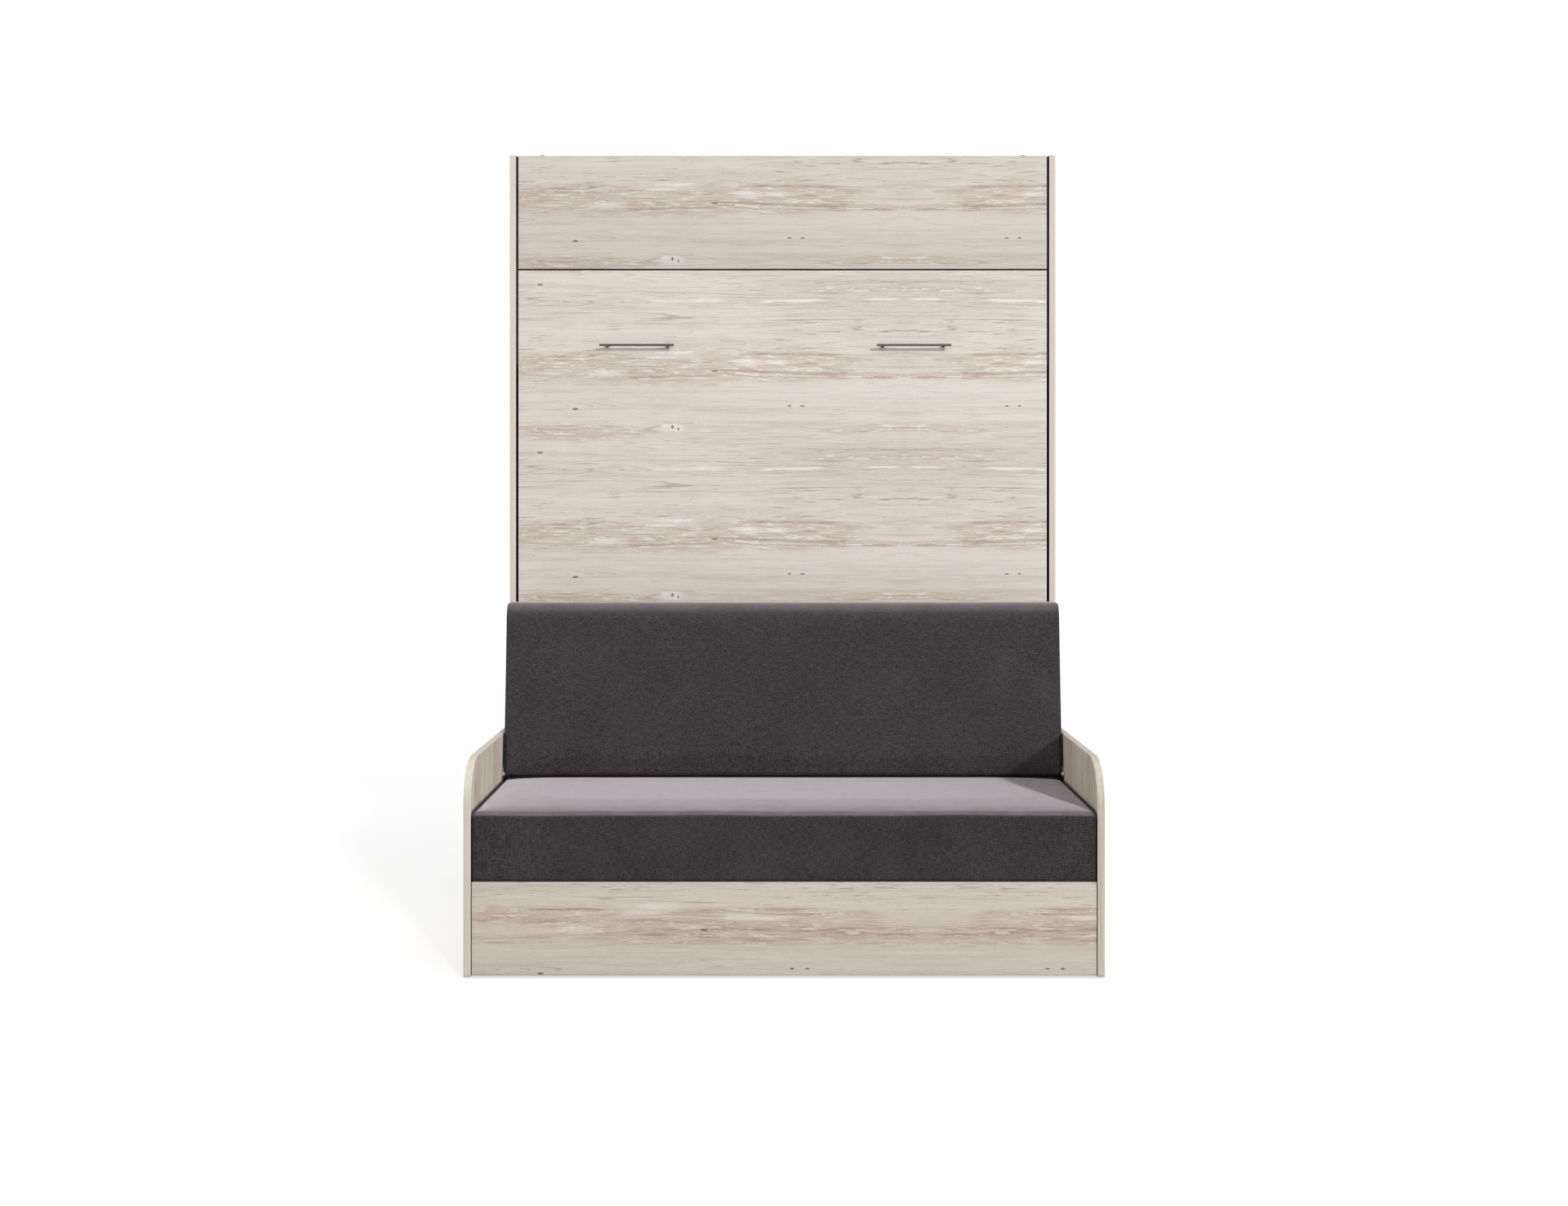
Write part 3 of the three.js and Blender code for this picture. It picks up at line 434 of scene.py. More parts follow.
# Node trees
class Graph:
    """Adds nodes to a tree and links them, so that a finish reads as a sum of its layers."""

    def __init__(self, tree):
        self.tree = tree

    def add(self, kind, inputs=(), **settings):
        node = self.tree.nodes.new(kind)
        for name, value in settings.items():
            setattr(node, name, value)
        for name, value in dict(inputs).items():
            self.feed(node.inputs[name], value)
        return node

    def feed(self, socket, value):
        if isinstance(value, bpy.types.NodeSocket):
            self.tree.links.new(value, socket)
        elif value is not None:
            socket.default_value = value

    def split(self, vector):
        return self.add("ShaderNodeSeparateXYZ", {"Vector": vector}).outputs

    def join(self, x=None, y=None, z=None):
        return self.add("ShaderNodeCombineXYZ", {"X": x, "Y": y, "Z": z}).outputs[0]

    def reordered(self, vector, order):
        """The vector with its axes in another order, such as ZXY."""
        parts = self.split(vector)
        return self.join(*[parts[axis] for axis in order])

    def noise(self, place, scale, detail=2.0, roughness=0.5, shift=(0, 0, 0)):
        """Noise of the place stretched by a scale for each axis."""
        stretched = self.add("ShaderNodeMapping",
                             {"Vector": place, "Scale": scale, "Location": shift})
        node = self.add("ShaderNodeTexNoise", {"Vector": stretched.outputs[0], "Scale": 1.0,
                                               "Detail": detail, "Roughness": roughness})
        return node.outputs["Fac"]

    def math(self, operation, first, second=None, third=None):
        node = self.add("ShaderNodeMath", operation=operation)
        for socket, value in zip(node.inputs, (first, second, third)):
            self.feed(socket, value)
        return node.outputs[0]

    def chain(self, operation, values):
        """Works an operation through some values, from the first on."""
        total, *rest = values
        for value in rest:
            total = self.math(operation, total, value)
        return total

    def times(self, *values):
        return self.chain("MULTIPLY", values)

    def plus(self, *values):
        return self.chain("ADD", values)

    def most(self, *values):
        return self.chain("MAXIMUM", values)

    def line(self, value, slope, start):
        """start + slope * value."""
        return self.math("MULTIPLY_ADD", value, slope, start)

    def smooth(self, value, low, high):
        """0 below low and 1 above high, eased between them. High may be under low."""
        node = self.add("ShaderNodeMapRange", {"Value": value, "From Min": low, "From Max": high},
                        interpolation_type="SMOOTHSTEP")
        return node.outputs[0]

    def mix(self, share, first, second, blend="MIX"):
        node = self.add("ShaderNodeMix", data_type="RGBA", blend_type=blend)
        self.feed(node.inputs[0], share)
        self.feed(node.inputs[6], first)
        self.feed(node.inputs[7], second)
        return node.outputs[2]

    def dimmed(self, shade, value):
        """The shade with all three of its colours times a value."""
        return self.mix(1.0, shade, self.join(value, value, value), "MULTIPLY")

    def ramp(self, value, stops):
        node = self.add("ShaderNodeValToRGB", {"Fac": value})
        line = node.color_ramp
        while len(line.elements) < len(stops):
            line.elements.new(0.5)
        for element, (place, shade) in zip(line.elements, stops):
            element.position = place
            element.color = shade
        return node.outputs[0]

    def steps(self, value, stops):
        """Three numbers that jump at each stop: the colour of a ramp without blending."""
        picked = self.ramp(value, [(place, (*numbers, 1)) for place, numbers in stops])
        picked.node.color_ramp.interpolation = "CONSTANT"
        return self.add("ShaderNodeSeparateColor", {"Color": picked}).outputs

    def away(self, place, centre, half):
        """Distance from the middle of an ellipse, counted so that it is 1 on the ellipse."""
        near = self.add("ShaderNodeMapping", {
            "Vector": place, "Location": [-c / h for c, h in zip(centre, half)] + [0],
            "Scale": [1 / h for h in half] + [0]}).outputs[0]
        return self.add("ShaderNodeVectorMath", {0: near}, operation="LENGTH").outputs["Value"]

    def patches(self, place, ragged, spots):
        """1 inside any of some ellipses with a soft, ragged edge. A spot is centre and half size."""
        return self.most(*[self.smooth(self.plus(self.away(place, *spot), ragged), 1.3, 0.6)
                           for spot in spots])

    def level_lines(self, value, count, width):
        """Thin lines where a value times count passes a whole number."""
        return self.smooth(self.math("PINGPONG", self.times(value, count), 0.5), width, 0.0)

    def arches(self, place, ragged, spots):
        """Thin ellipses, one inside another, round each spot and as far as its half size."""
        bends = [self.line(ragged, 0.08, self.away(place, *spot)) for spot in spots]
        return self.most(*[self.times(self.level_lines(bent, 5.5, 0.16),
                                      self.smooth(bent, 1.05, 0.8)) for bent in bends])

    def crevice(self, shade, reach):
        """The shade, darker in the narrow gaps that less light gets into."""
        open_ = self.add("ShaderNodeAmbientOcclusion", {"Distance": reach}, samples=8)
        lit = self.smooth(open_.outputs["AO"], 0.42, 0.97)
        return self.dimmed(shade, self.line(lit, CREVICE_DEPTH, 1.0 - CREVICE_DEPTH))

    def bump(self, height, strength, distance):
        node = self.add("ShaderNodeBump", {"Height": height, "Strength": strength,
                                           "Distance": distance})
        return node.outputs[0]

    def seen_directly(self):
        """1 for rays from the camera and for what gloss and glass show, 0 for all other light."""
        path = self.add("ShaderNodeLightPath").outputs
        return self.most(path["Is Camera Ray"], path["Is Glossy Ray"], path["Is Transmission Ray"])


class Finish(Graph):
    """A new material's tree, with its Principled shader and its object coordinates."""

    def __init__(self, name):
        self.material = bpy.data.materials.new(name)
        self.material.use_nodes = True
        super().__init__(self.material.node_tree)
        self.shader = self.tree.nodes["Principled BSDF"]
        self.place = self.add("ShaderNodeTexCoord").outputs["Object"]

    def facing(self, axis):
        """How far the surface faces along an axis of the object, from -1 to 1."""
        return self.split(self.add("ShaderNodeTexCoord").outputs["Normal"])[axis]

    def dress(self, inputs):
        """Feeds the shader, and gives back the material."""
        for name, value in inputs.items():
            self.feed(self.shader.inputs[name], value)
        return self.material


# The boards' printed decor repeats across the grain and is mirrored about one line across it.
# Each strip of it starts at a share of the repeat and shows so much brown, broken grain and figure.
DECOR_REPEAT = 0.4866
DECOR_TOP = 1.4089
MIRROR_LINE = 0.353
STRIPS = [(0.0, (0.42, 0.5, 0.5)), (0.121, (0.12, 0.7, 0.5)), (0.179, (0.42, 0.35, 1.0)),
          (0.401, (0.14, 0.9, 0.15)), (0.592, (0.85, 0.5, 0.35)), (0.783, (0.05, 0.4, 0.05))]
# Places along the grain from the mirror line and across it from the top of the repeat
PINK_PATCHES = [((-0.95, 0.032), (0.26, 0.026)), ((-0.48, 0.340), (0.34, 0.040)),
                ((-0.72, 0.357), (0.15, 0.024)), ((-0.95, 0.312), (0.24, 0.024)),
                ((-0.14, 0.350), (0.20, 0.014)), ((-0.38, 0.306), (0.24, 0.022)),
                ((-0.03, 0.022), (0.21, 0.011)), ((-0.06, 0.108), (0.28, 0.009))]
DUSKY_PATCHES = [((0.0, 0.126), (0.46, 0.062)), ((-0.95, 0.036), (0.30, 0.022))]
WHITE_PATCHES = [((-0.672, 0.017), (0.034, 0.013)), ((-0.43, 0.316), (0.085, 0.009)),
                 ((-0.86, 0.349), (0.05, 0.009)), ((-0.185, 0.352), (0.016, 0.004)),
                 ((-0.27, 0.335), (0.014, 0.004)), ((-0.70, 0.306), (0.05, 0.004)),
                 ((-0.06, 0.136), (0.06, 0.003)), ((-0.34, 0.139), (0.14, 0.004)),
                 ((-0.62, 0.138), (0.10, 0.005)), ((-0.66, 0.290), (0.05, 0.007))]
BROWN_PATCHES = [((-0.40, 0.346), (0.24, 0.004)), ((-0.30, 0.292), (0.12, 0.003)),
                 ((-0.66, 0.361), (0.17, 0.004)), ((-0.20, 0.345), (0.05, 0.008)),
                 ((-0.92, 0.300), (0.14, 0.003)), ((-0.08, 0.356), (0.06, 0.003))]
# Centre and half size of the pointed arches of a sawn log's rings
ARCHES = [((-1.14, 0.142), (0.44, 0.026)), ((-0.19, 0.352), (0.055, 0.020)),
          ((-1.20, 0.445), (0.40, 0.018))]
KNOT_PATCHES = [((-0.953, 0.454), (0.009, 0.0034)), ((-0.3335, 0.4423), (0.005, 0.0026)),
                ((-0.296, 0.4425), (0.007, 0.0022)), ((-0.672, 0.013), (0.0035, 0.006)),
                ((-0.655, 0.019), (0.003, 0.005)), ((-1.055, 0.093), (0.007, 0.0026)),
                ((-0.55, 0.349), (0.010, 0.0026))]
# Noises of the decor: changes in a metre along, across and through the board, detail, roughness
# and shift
TONES = {
    "ragged": ((9, 60, 9), 3.0, 0.6),
    "slow": ((0.9, 14, 4), 3.0, 0.55, (4.1, 0, 0)),
    "streak": ((5.5, 140, 40), 5.0, 0.70),
    "fibre": ((26, 420, 90), 3.0, 0.65, (3.1, 0, 0)),
    "speck": ((150, 480, 200), 2.0, 0.6, (0, 6.3, 0)),
    "rings": ((0.55, 17, 5), 1.5, 0.4, (2.6, 9.1, 0)),
    "cracks": ((1.1, 42, 12), 2.0, 0.5, (0.4, 3.3, 0)),
}
# The same, with the two values between which the noise turns from 0 to 1
MASKS = {
    "field": ((1.0, 17, 5), 2.0, 0.5, (7.7, 2.3, 0), 0.42, 0.64),
    "torn": ((7, 130, 30), 5.0, 0.72, (1.9, 0, 0), 0.38, 0.60),
    "heart": ((9, 190, 40), 4.0, 0.7, (0.7, 5.1, 0), 0.50, 0.62),
    "frayed": ((12, 240, 60), 4.0, 0.7, (6.2, 1.4, 0), 0.38, 0.56),
    "chips": ((17, 150, 40), 4.0, 0.75, (0, 4.4, 0), 0.54, 0.60),
    "flaky": ((22, 170, 40), 4.0, 0.75, (2.4, 0, 0), 0.42, 0.58),
    "dash": ((14, 300, 60), 3.0, 0.6, (5.3, 1.1, 0), 0.59, 0.68),
    "dashed": ((1.5, 15, 4), 2.0, 0.5, (0, 8.2, 0), 0.44, 0.60),
    "gaps": ((7, 90, 30), 2.0, 0.6, (8.8, 0, 0), 0.42, 0.56),
}
# How strongly each layer of the decor covers what is under it
COVERS = {"dusky": 0.38, "pink": 0.95, "heart": 0.6, "brown": 0.7, "chips": 0.75, "arches": 0.9,
          "figure": 0.55, "knots": 0.8}


def decor_group(settings):
    """Limewashed pine: place holds metres along the grain, down across it and through the board."""
    tree = bpy.data.node_groups.new("limewashed_pine", "ShaderNodeTree")
    for name, way, kind in (("Place", "INPUT", "Vector"), ("Colour", "OUTPUT", "Color"),
                            ("Height", "OUTPUT", "Float")):
        tree.interface.new_socket(name, in_out=way, socket_type=f"NodeSocket{kind}")
    graph = Graph(tree)
    along, down, through = graph.split(graph.add("NodeGroupInput").outputs[0])
    mirrored = graph.times(graph.math("ABSOLUTE", graph.math("SUBTRACT", along, MIRROR_LINE)), -1.0)
    across = graph.math("WRAP", down, DECOR_REPEAT, 0.0)
    flat = graph.join(mirrored, across, through)
    sway = graph.line(graph.noise(flat, (1.6, 8, 4)), 0.024, -0.012)
    grain = graph.add("ShaderNodeVectorMath", {0: flat, 1: graph.join(y=sway)},
                      operation="ADD").outputs[0]
    brown_share, broken_share, figure_share = graph.steps(
        graph.times(across, 1 / DECOR_REPEAT), STRIPS)
    tones = {name: graph.noise(grain, *values) for name, values in TONES.items()}
    masks = {name: graph.smooth(graph.noise(grain, *values), low, high)
             for name, (*values, low, high) in MASKS.items()}
    ragged = graph.line(tones["ragged"], 1.6, -0.8)

    # Ground: slow tones and fine streaks of lime, with wide dusky fields
    ground = graph.line(tones["slow"], 0.5, graph.times(tones["streak"], 0.5))
    shade = graph.ramp(ground, [(0.35, settings.dusk), (0.455, settings.middle),
                                (0.56, settings.pale)])
    dusky = graph.patches(grain, graph.times(ragged, 0.4), DUSKY_PATCHES)
    shade = graph.mix(graph.times(dusky, COVERS["dusky"]), shade, settings.dusk)

    # Pinkish bands that break up into streaks, browner in their heart, with flakes of lime on them
    pink = graph.times(graph.patches(grain, ragged, PINK_PATCHES), COVERS["pink"])
    band = graph.most(graph.times(brown_share, masks["field"]), pink)
    worn = graph.times(band, graph.line(masks["torn"], 0.72, 0.25))
    shade = graph.mix(worn, shade, settings.pink)
    streaks = graph.times(graph.patches(grain, ragged, BROWN_PATCHES), masks["frayed"],
                          COVERS["brown"])
    heart = graph.times(worn, masks["heart"], COVERS["heart"])
    shade = graph.mix(graph.most(heart, streaks), shade, settings.brown)
    white = graph.times(graph.patches(grain, graph.times(ragged, 1.3), WHITE_PATCHES),
                        graph.line(masks["flaky"], 0.6, 0.4))
    chips = graph.times(masks["chips"], band, COVERS["chips"])
    shade = graph.mix(graph.most(white, chips), shade, settings.flake)

    # Dashes of open grain, and long level lines of slow noises as growth rings and cracks
    dashes = graph.times(masks["dash"], masks["dashed"], graph.line(broken_share, 0.7, 0.1))
    shade = graph.mix(dashes, shade, settings.grain)
    rings = graph.times(graph.level_lines(tones["rings"], 17.0, 0.10), figure_share, masks["gaps"])
    arches = graph.times(graph.arches(grain, ragged, ARCHES), masks["gaps"], COVERS["arches"])
    figure = graph.most(rings, arches)
    shade = graph.mix(graph.times(figure, COVERS["figure"]), shade, settings.grain)
    cracks = graph.times(graph.level_lines(tones["cracks"], 7.0, 0.05), masks["gaps"],
                         graph.line(broken_share, 0.5, 0.05))
    shade = graph.mix(cracks, shade, settings.grain)
    knots = graph.patches(grain, graph.times(ragged, 0.7), KNOT_PATCHES)
    shade = graph.mix(graph.times(knots, COVERS["knots"]), shade, settings.knot)
    veil = graph.line(tones["fibre"], 0.26, graph.line(tones["speck"], 0.2, 0.77))

    height = graph.math("SUBTRACT", graph.times(tones["fibre"], 0.5),
                        graph.plus(dashes, figure, knots))
    graph.add("NodeGroupOutput", {"Colour": graph.dimmed(shade, veil), "Height": height})
    return tree


def board_material(name, decor, order, shift, tint, banding):
    """A board's decor. order names the axes along the grain, across it and through the board.

    shift is the part of the print that the board shows, tint darkens or pales it, which on the apron
    is painted shade and on the arms painted light, and banding is the colour of the narrow edges,
    which are where the surface doesn't face the third axis. Narrow gaps are darkened as painted
    shade.
    """
    finish = Finish(name)
    along = finish.reordered(finish.place, order)
    moved = finish.add("ShaderNodeMapping", {"Vector": along, "Location": shift,
                                             "Scale": (1, -1, 1)})
    printed = finish.add("ShaderNodeGroup", {0: moved.outputs[0]}, node_tree=decor).outputs
    tinted = finish.mix(1.0, printed["Colour"], (*tint, 1), "MULTIPLY")
    narrow = finish.smooth(finish.math("ABSOLUTE", finish.facing(order[2])), 0.75, 0.65)
    lime = finish.smooth(finish.noise(along, (3, 70, 260), 3.0, 0.6), 0.35, 0.65)
    edge = finish.mix(finish.times(lime, 0.4), banding, EDGE_LIME)
    return finish.dress({
        "Base Color": finish.crevice(finish.mix(narrow, tinted, edge), 0.012),
        "Roughness": finish.line(printed["Height"], -0.12, 0.6),
        "Normal": finish.bump(printed["Height"], 0.3, 0.0005),
        "Specular IOR Level": 0.35})


def upholstery_material(settings):
    """Linen-like weave: slubs along all three axes and soft mottling, with painted light that pales
    what faces up and painted shade in narrow gaps.
    """
    finish = Finish("anthracite_weave")
    slubs = [finish.noise(finish.place, scale, 2.0, 0.6, shift) for scale, shift in (
        ((70, 780, 780), (0, 0, 0)), ((780, 70, 780), (4, 0, 0)), ((780, 780, 70), (0, 7, 0)))]
    thread = finish.times(finish.plus(*slubs), 1 / 3)
    mottle = finish.noise(finish.place, (7, 7, 7), 4.0, 0.6, (0, 3.0, 0))
    value = finish.line(mottle, 0.09, finish.times(thread, 0.96))
    shade = finish.ramp(value, [(0.43, settings.dark), (0.62, settings.light)])
    # Painted light: what faces up is mixed towards the paler colour, in patches, and what faces a
    # little above level slightly
    facing = finish.facing("Z")
    faces_up = finish.line(finish.smooth(facing, 0.0, 1.0), 0.25,
                         finish.times(finish.smooth(facing, 0.35, 0.95), 0.75))
    top_light_patches = finish.smooth(finish.noise(finish.place, (22, 22, 22), 4.0, 0.65, (5.0, 0, 0)),
                           0.3, 0.7)
    lit_top_share = finish.line(finish.smooth(facing, 0.0, 0.12), 0.035,
                          finish.times(faces_up, finish.line(top_light_patches, 0.2, 0.465)))
    return finish.dress({
        "Base Color": finish.crevice(finish.mix(lit_top_share, shade, settings.painted_top_light), 0.02),
        "Normal": finish.bump(thread, 0.8, 0.0012),
        "Roughness": 0.95,
        "Specular IOR Level": 0.2,
        "Sheen Weight": 1.0,
        "Sheen Roughness": 0.3,
        "Sheen Tint": tone(250, 241, 247)})


def ticking_material(settings):
    """Knitted mattress cover with a soft leaf-like jacquard."""
    finish = Finish("quilted_ticking")
    knit = finish.noise(finish.place, (500, 900, 350), 2.0, 0.6)
    leaf = finish.add("ShaderNodeTexVoronoi", {"Vector": finish.place, "Scale": 38.0},
                      feature="SMOOTH_F1")
    pattern = finish.smooth(leaf.outputs["Distance"], 0.25, 0.6)
    shadow = finish.mix(finish.times(pattern, 0.16), settings.cover, tone(186, 190, 196))
    height = finish.line(pattern, 0.8, knit)
    return finish.dress({
        "Base Color": finish.mix(finish.times(knit, 0.12), shadow, tone(200, 198, 192)),
        "Normal": finish.bump(height, 0.4, 0.0008),
        "Roughness": 0.9,
        "Sheen Weight": 0.25})


def metal_material(name, shade, roughness, lengthwise):
    """Metal with fine drawn lines along one axis and small changes of gloss."""
    finish = Finish(name)
    scale = [900.0] * 3
    scale["XYZ".index(lengthwise)] = 12.0
    lines = finish.noise(finish.place, scale, 3.0, 0.6)
    cloud = finish.noise(finish.place, (22, 22, 22), 2.0, 0.5)
    return finish.dress({
        "Base Color": finish.mix(finish.times(lines, 0.35), shade, tone(70, 70, 72)),
        "Roughness": finish.line(cloud, 0.14, finish.line(lines, 0.12, roughness - 0.13)),
        "Normal": finish.bump(lines, 0.15, 0.0002),
        "Metallic": 1.0})


def grained_material(name, shade, darker, roughness, scale, depth):
    """Moulded plastic, powder coat, hardboard, and the black of the painted-shade strips: a fine
    pebbled or felted skin.
    """
    finish = Finish(name)
    pebbles = finish.noise(finish.place, (scale,) * 3, 3.0, 0.6)
    cloud = finish.noise(finish.place, (9, 9, 9), 2.0, 0.5)
    return finish.dress({
        "Base Color": finish.mix(finish.smooth(finish.plus(pebbles, cloud), 0.7, 1.3), shade,
                                 darker),
        "Roughness": finish.line(pebbles, 0.16, roughness - 0.08),
        "Normal": finish.bump(pebbles, 0.3, depth)})


def timber_material(name, order):
    """Clear birch and pine of slats, ledges and the backrest board."""
    finish = Finish(name)
    along = finish.reordered(finish.place, order)
    figure = finish.noise(along, (1.4, 34, 34), 4.0, 0.6)
    fibre = finish.noise(along, (9, 500, 500), 3.0, 0.6)
    shade = finish.ramp(figure, [(0.3, tone(196, 158, 112)), (0.5, tone(216, 182, 137)),
                                 (0.7, tone(229, 201, 160))])
    dark = finish.times(finish.smooth(fibre, 0.5, 0.75), 0.35)
    return finish.dress({
        "Base Color": finish.mix(dark, shade, tone(170, 130, 88)),
        "Normal": finish.bump(fibre, 0.25, 0.0004),
        "Roughness": 0.55})


def webbing_material():
    """Woven strap: ribs across and a twill along it."""
    finish = Finish("dark_webbing")
    weave = finish.times(*[finish.add(
        "ShaderNodeTexWave", {"Vector": finish.place, "Scale": scale, "Distortion": 0.4},
        bands_direction=axis).outputs["Fac"] for axis, scale in (("X", 160.0), ("Z", 190.0))])
    return finish.dress({
        "Base Color": finish.mix(weave, tone(38, 38, 42), tone(78, 78, 84)),
        "Normal": finish.bump(weave, 0.5, 0.0006),
        "Roughness": 0.8,
        "Sheen Weight": 0.3})


# Which finish each board takes: its grain order, the part of the print it shows, how much that is
# darkened or paled, and the colour of its banding.
# The apron's darker tint is painted shade, the arms' paler tint is painted light, and the right
# arm's darker banding is painted shade.
FRONT, FLAT, SIDE = "XZY", "XYZ", "ZYX"
# Painted light and shade: the paler tint is painted light on the arms, the shaded one painted shade
# on the apron
PLAIN, SHADED, PAINTED_LIGHT = (1.0, 1.0, 1.0), (0.81, 0.775, 0.75), (1.20, 1.165, 1.11)
PINKISH, ROSE, CREAM = tone(212, 197, 186), tone(206, 191, 179), tone(194, 185, 171)
BOARD_GROUPS = {
    "main_front": (FRONT, (0.0, DECOR_TOP, 0.0), (0.98, 0.98, 0.98), PINKISH,
                   ["bed_front_panel"]),
    "band_front": (FRONT, (0.0, DECOR_TOP, 0.0), (0.91, 0.905, 0.895), PINKISH,
                   ["leg_front_band"]),
    "apron_front": (FRONT, (0.0, 0.466, 0.0), SHADED, CREAM, ["seat_apron"]),
    "hidden_upright": (FRONT, (1.1, 0.2, 0.0), PLAIN, CREAM, [
        "lower_front_panel", "rear_top_rail", "rear_bottom_rail", "sofa_rear_rail",
        "head_rail", "foot_rail"]),
    "flat_boards": (FLAT, (0.4, 0.12, 0.0), PLAIN, PINKISH, ["top_panel", "seat_platform"]),
    "left_boards": (SIDE, (-0.6, 0.31, 0.0), PLAIN, PINKISH, [
        "left_side_panel", "left_side_rail"]),
    "right_boards": (SIDE, (-0.9, 0.37, 0.0), PLAIN, ROSE, [
        "right_side_panel", "right_side_rail"]),
    "left_arm_board": (SIDE, (-0.1, 0.12, 0.0), PAINTED_LIGHT, CREAM, ["left_arm", "seat_centre_support"]),
    # Painted shade: the right arm's banding is darker than the left arm's
    "right_arm_board": (SIDE, (-0.1, 0.12, 0.0), PAINTED_LIGHT, tone(181, 170, 156), ["right_arm"]),
}
# Boards that are rebuilt with broken edges: their slot, the body they ride on and their names
BOARDS = [
    ("laminate", "base", ["left_side_panel", "right_side_panel", "top_panel", "rear_top_rail",
                          "rear_bottom_rail", "lower_front_panel", "seat_apron", "seat_platform",
                          "sofa_rear_rail", "seat_centre_support"]),
    ("laminate", "bed", ["bed_front_panel", "left_side_rail", "right_side_rail", "head_rail",
                         "foot_rail"]),
    ("laminate", "leg", ["leg_front_band"]),
    ("plywood", "bed", ["left_slat_ledge", "right_slat_ledge", "centre_rail"]),
]


def finish_nodes(names, material):
    for name in names:
        node = frame["nodes"][name]
        node.data.materials.clear()
        node.data.materials.append(material)


def both_sides(*parts):
    return [f"{side}_{part}" for side in SIDES for part in parts]


def set_out(piece, body, slot, *nodes):
    """Puts a piece on its body and hides the nodes that it stands for."""
    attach(piece, body)
    if nodes:
        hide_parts(*nodes)


def fitted(name, shape, finish, body, slot, *nodes, degrees=35):
    """A piece from points and faces, set out with a finish that the finishes operator made.

    It is smooth across edges of up to so many degrees, and flat all over at 0.
    """
    piece = mesh_object(name, *shape, bpy.data.materials[finish], degrees > 0)
    if degrees > 0:
        piece.data.set_sharp_from_angle(angle=math.radians(degrees))
    set_out(piece, body, slot, *nodes)


def studs(name, profile, places, axis, steps, finish, body, slot):
    """One piece of the same turned profile at several places."""
    shape = merged([turned(profile, place, axis, steps) for place in places])
    fitted(name, shape, finish, body, slot)


def middle_of(node):
    """Centre and size of a node's box, as arrays."""
    low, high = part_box(node)
    return np.array((low + high) / 2), np.array(high - low)


def cover(name, points, quads, settings, low, high, turn=np.eye(3)):
    """A cushion's cover: puffed, pressed flat where it would leave its box, turned and fine."""
    piece = mesh_object(name, points, [quads], bpy.data.materials["anthracite_weave"])
    puff(piece, settings.pressure, settings.cap)
    set_places(piece.data, np.clip(vertex_values(piece.data), low, high) @ turn.T)
    fine = piece.modifiers.new("Fine", "SUBSURF")
    fine.levels = 1
    fine.render_levels = 1
    return piece


class WALLBED_OT_stage(bpy.types.Operator):
    """Camera, floor, backdrop and lights"""
    bl_idname = "wallbed.stage"
    bl_label = "Stage"

    def execute(self, context):
        settings = context.scene.wallbed_stage
        self.camera(context)
        self.floor(settings)
        self.world(context, settings)
        for name, (source, spread) in LIGHTS.items():
            self.sun(context, name, getattr(settings, name.lower()), source, spread)
        context.scene.view_settings.view_transform = "Standard"
        return {"FINISHED"}

    def camera(self, context):
        data = bpy.data.cameras.new("Camera")
        data.sensor_width = SENSOR_WIDTH
        data.lens = FOCAL_PIXELS / PHOTO_SIZE[0] * SENSOR_WIDTH
        data.shift_x = (PHOTO_SIZE[0] / 2 - PRINCIPAL_POINT[0]) / PHOTO_SIZE[0]
        data.shift_y = (PRINCIPAL_POINT[1] - PHOTO_SIZE[1] / 2) / PHOTO_SIZE[0]
        camera = bpy.data.objects.new("Camera", data)
        camera.location = CAMERA_PLACE
        camera.rotation_euler = (math.pi / 2, 0, 0)
        context.scene.collection.objects.link(camera)
        context.scene.camera = camera

    def floor(self, settings):
        finish = Finish("pale_floor")
        material = finish.dress({
            "Base Color": settings.floor, "Roughness": 0.9, "Specular IOR Level": 0.0})
        glow = finish.add("ShaderNodeEmission", {
            "Color": WHITE, "Strength": finish.times(finish.seen_directly(), settings.floor_lift)})
        both = finish.add("ShaderNodeAddShader", {0: finish.shader.outputs[0],
                                                  1: glow.outputs[0]})
        finish.feed(finish.tree.nodes["Material Output"].inputs["Surface"], both.outputs[0])
        corners = FLOOR_REACH * np.array([[-1, -1, 0], [1, -1, 0], [1, 1, 0], [-1, 1, 0]])
        mesh_object("Floor", corners, [np.array([[0, 1, 2, 3]])], material, False)

    def world(self, context, settings):
        world = bpy.data.worlds.new("Studio")
        world.use_nodes = True
        context.scene.world = world
        graph = Graph(world.node_tree)
        background = world.node_tree.nodes["Background"].inputs
        graph.feed(background["Color"], WHITE)
        graph.feed(background["Strength"], graph.line(
            graph.seen_directly(), 1.0 - settings.sky, settings.sky))

    def sun(self, context, name, strength, source, spread):
        data = bpy.data.lights.new(name, "SUN")
        data.energy = strength
        data.angle = math.radians(spread)
        lamp = bpy.data.objects.new(name, data)
        aim = np.array(source) / np.linalg.norm(source)
        lamp.rotation_euler = (math.acos(aim[2]), 0, math.atan2(aim[0], -aim[1]))
        context.scene.collection.objects.link(lamp)


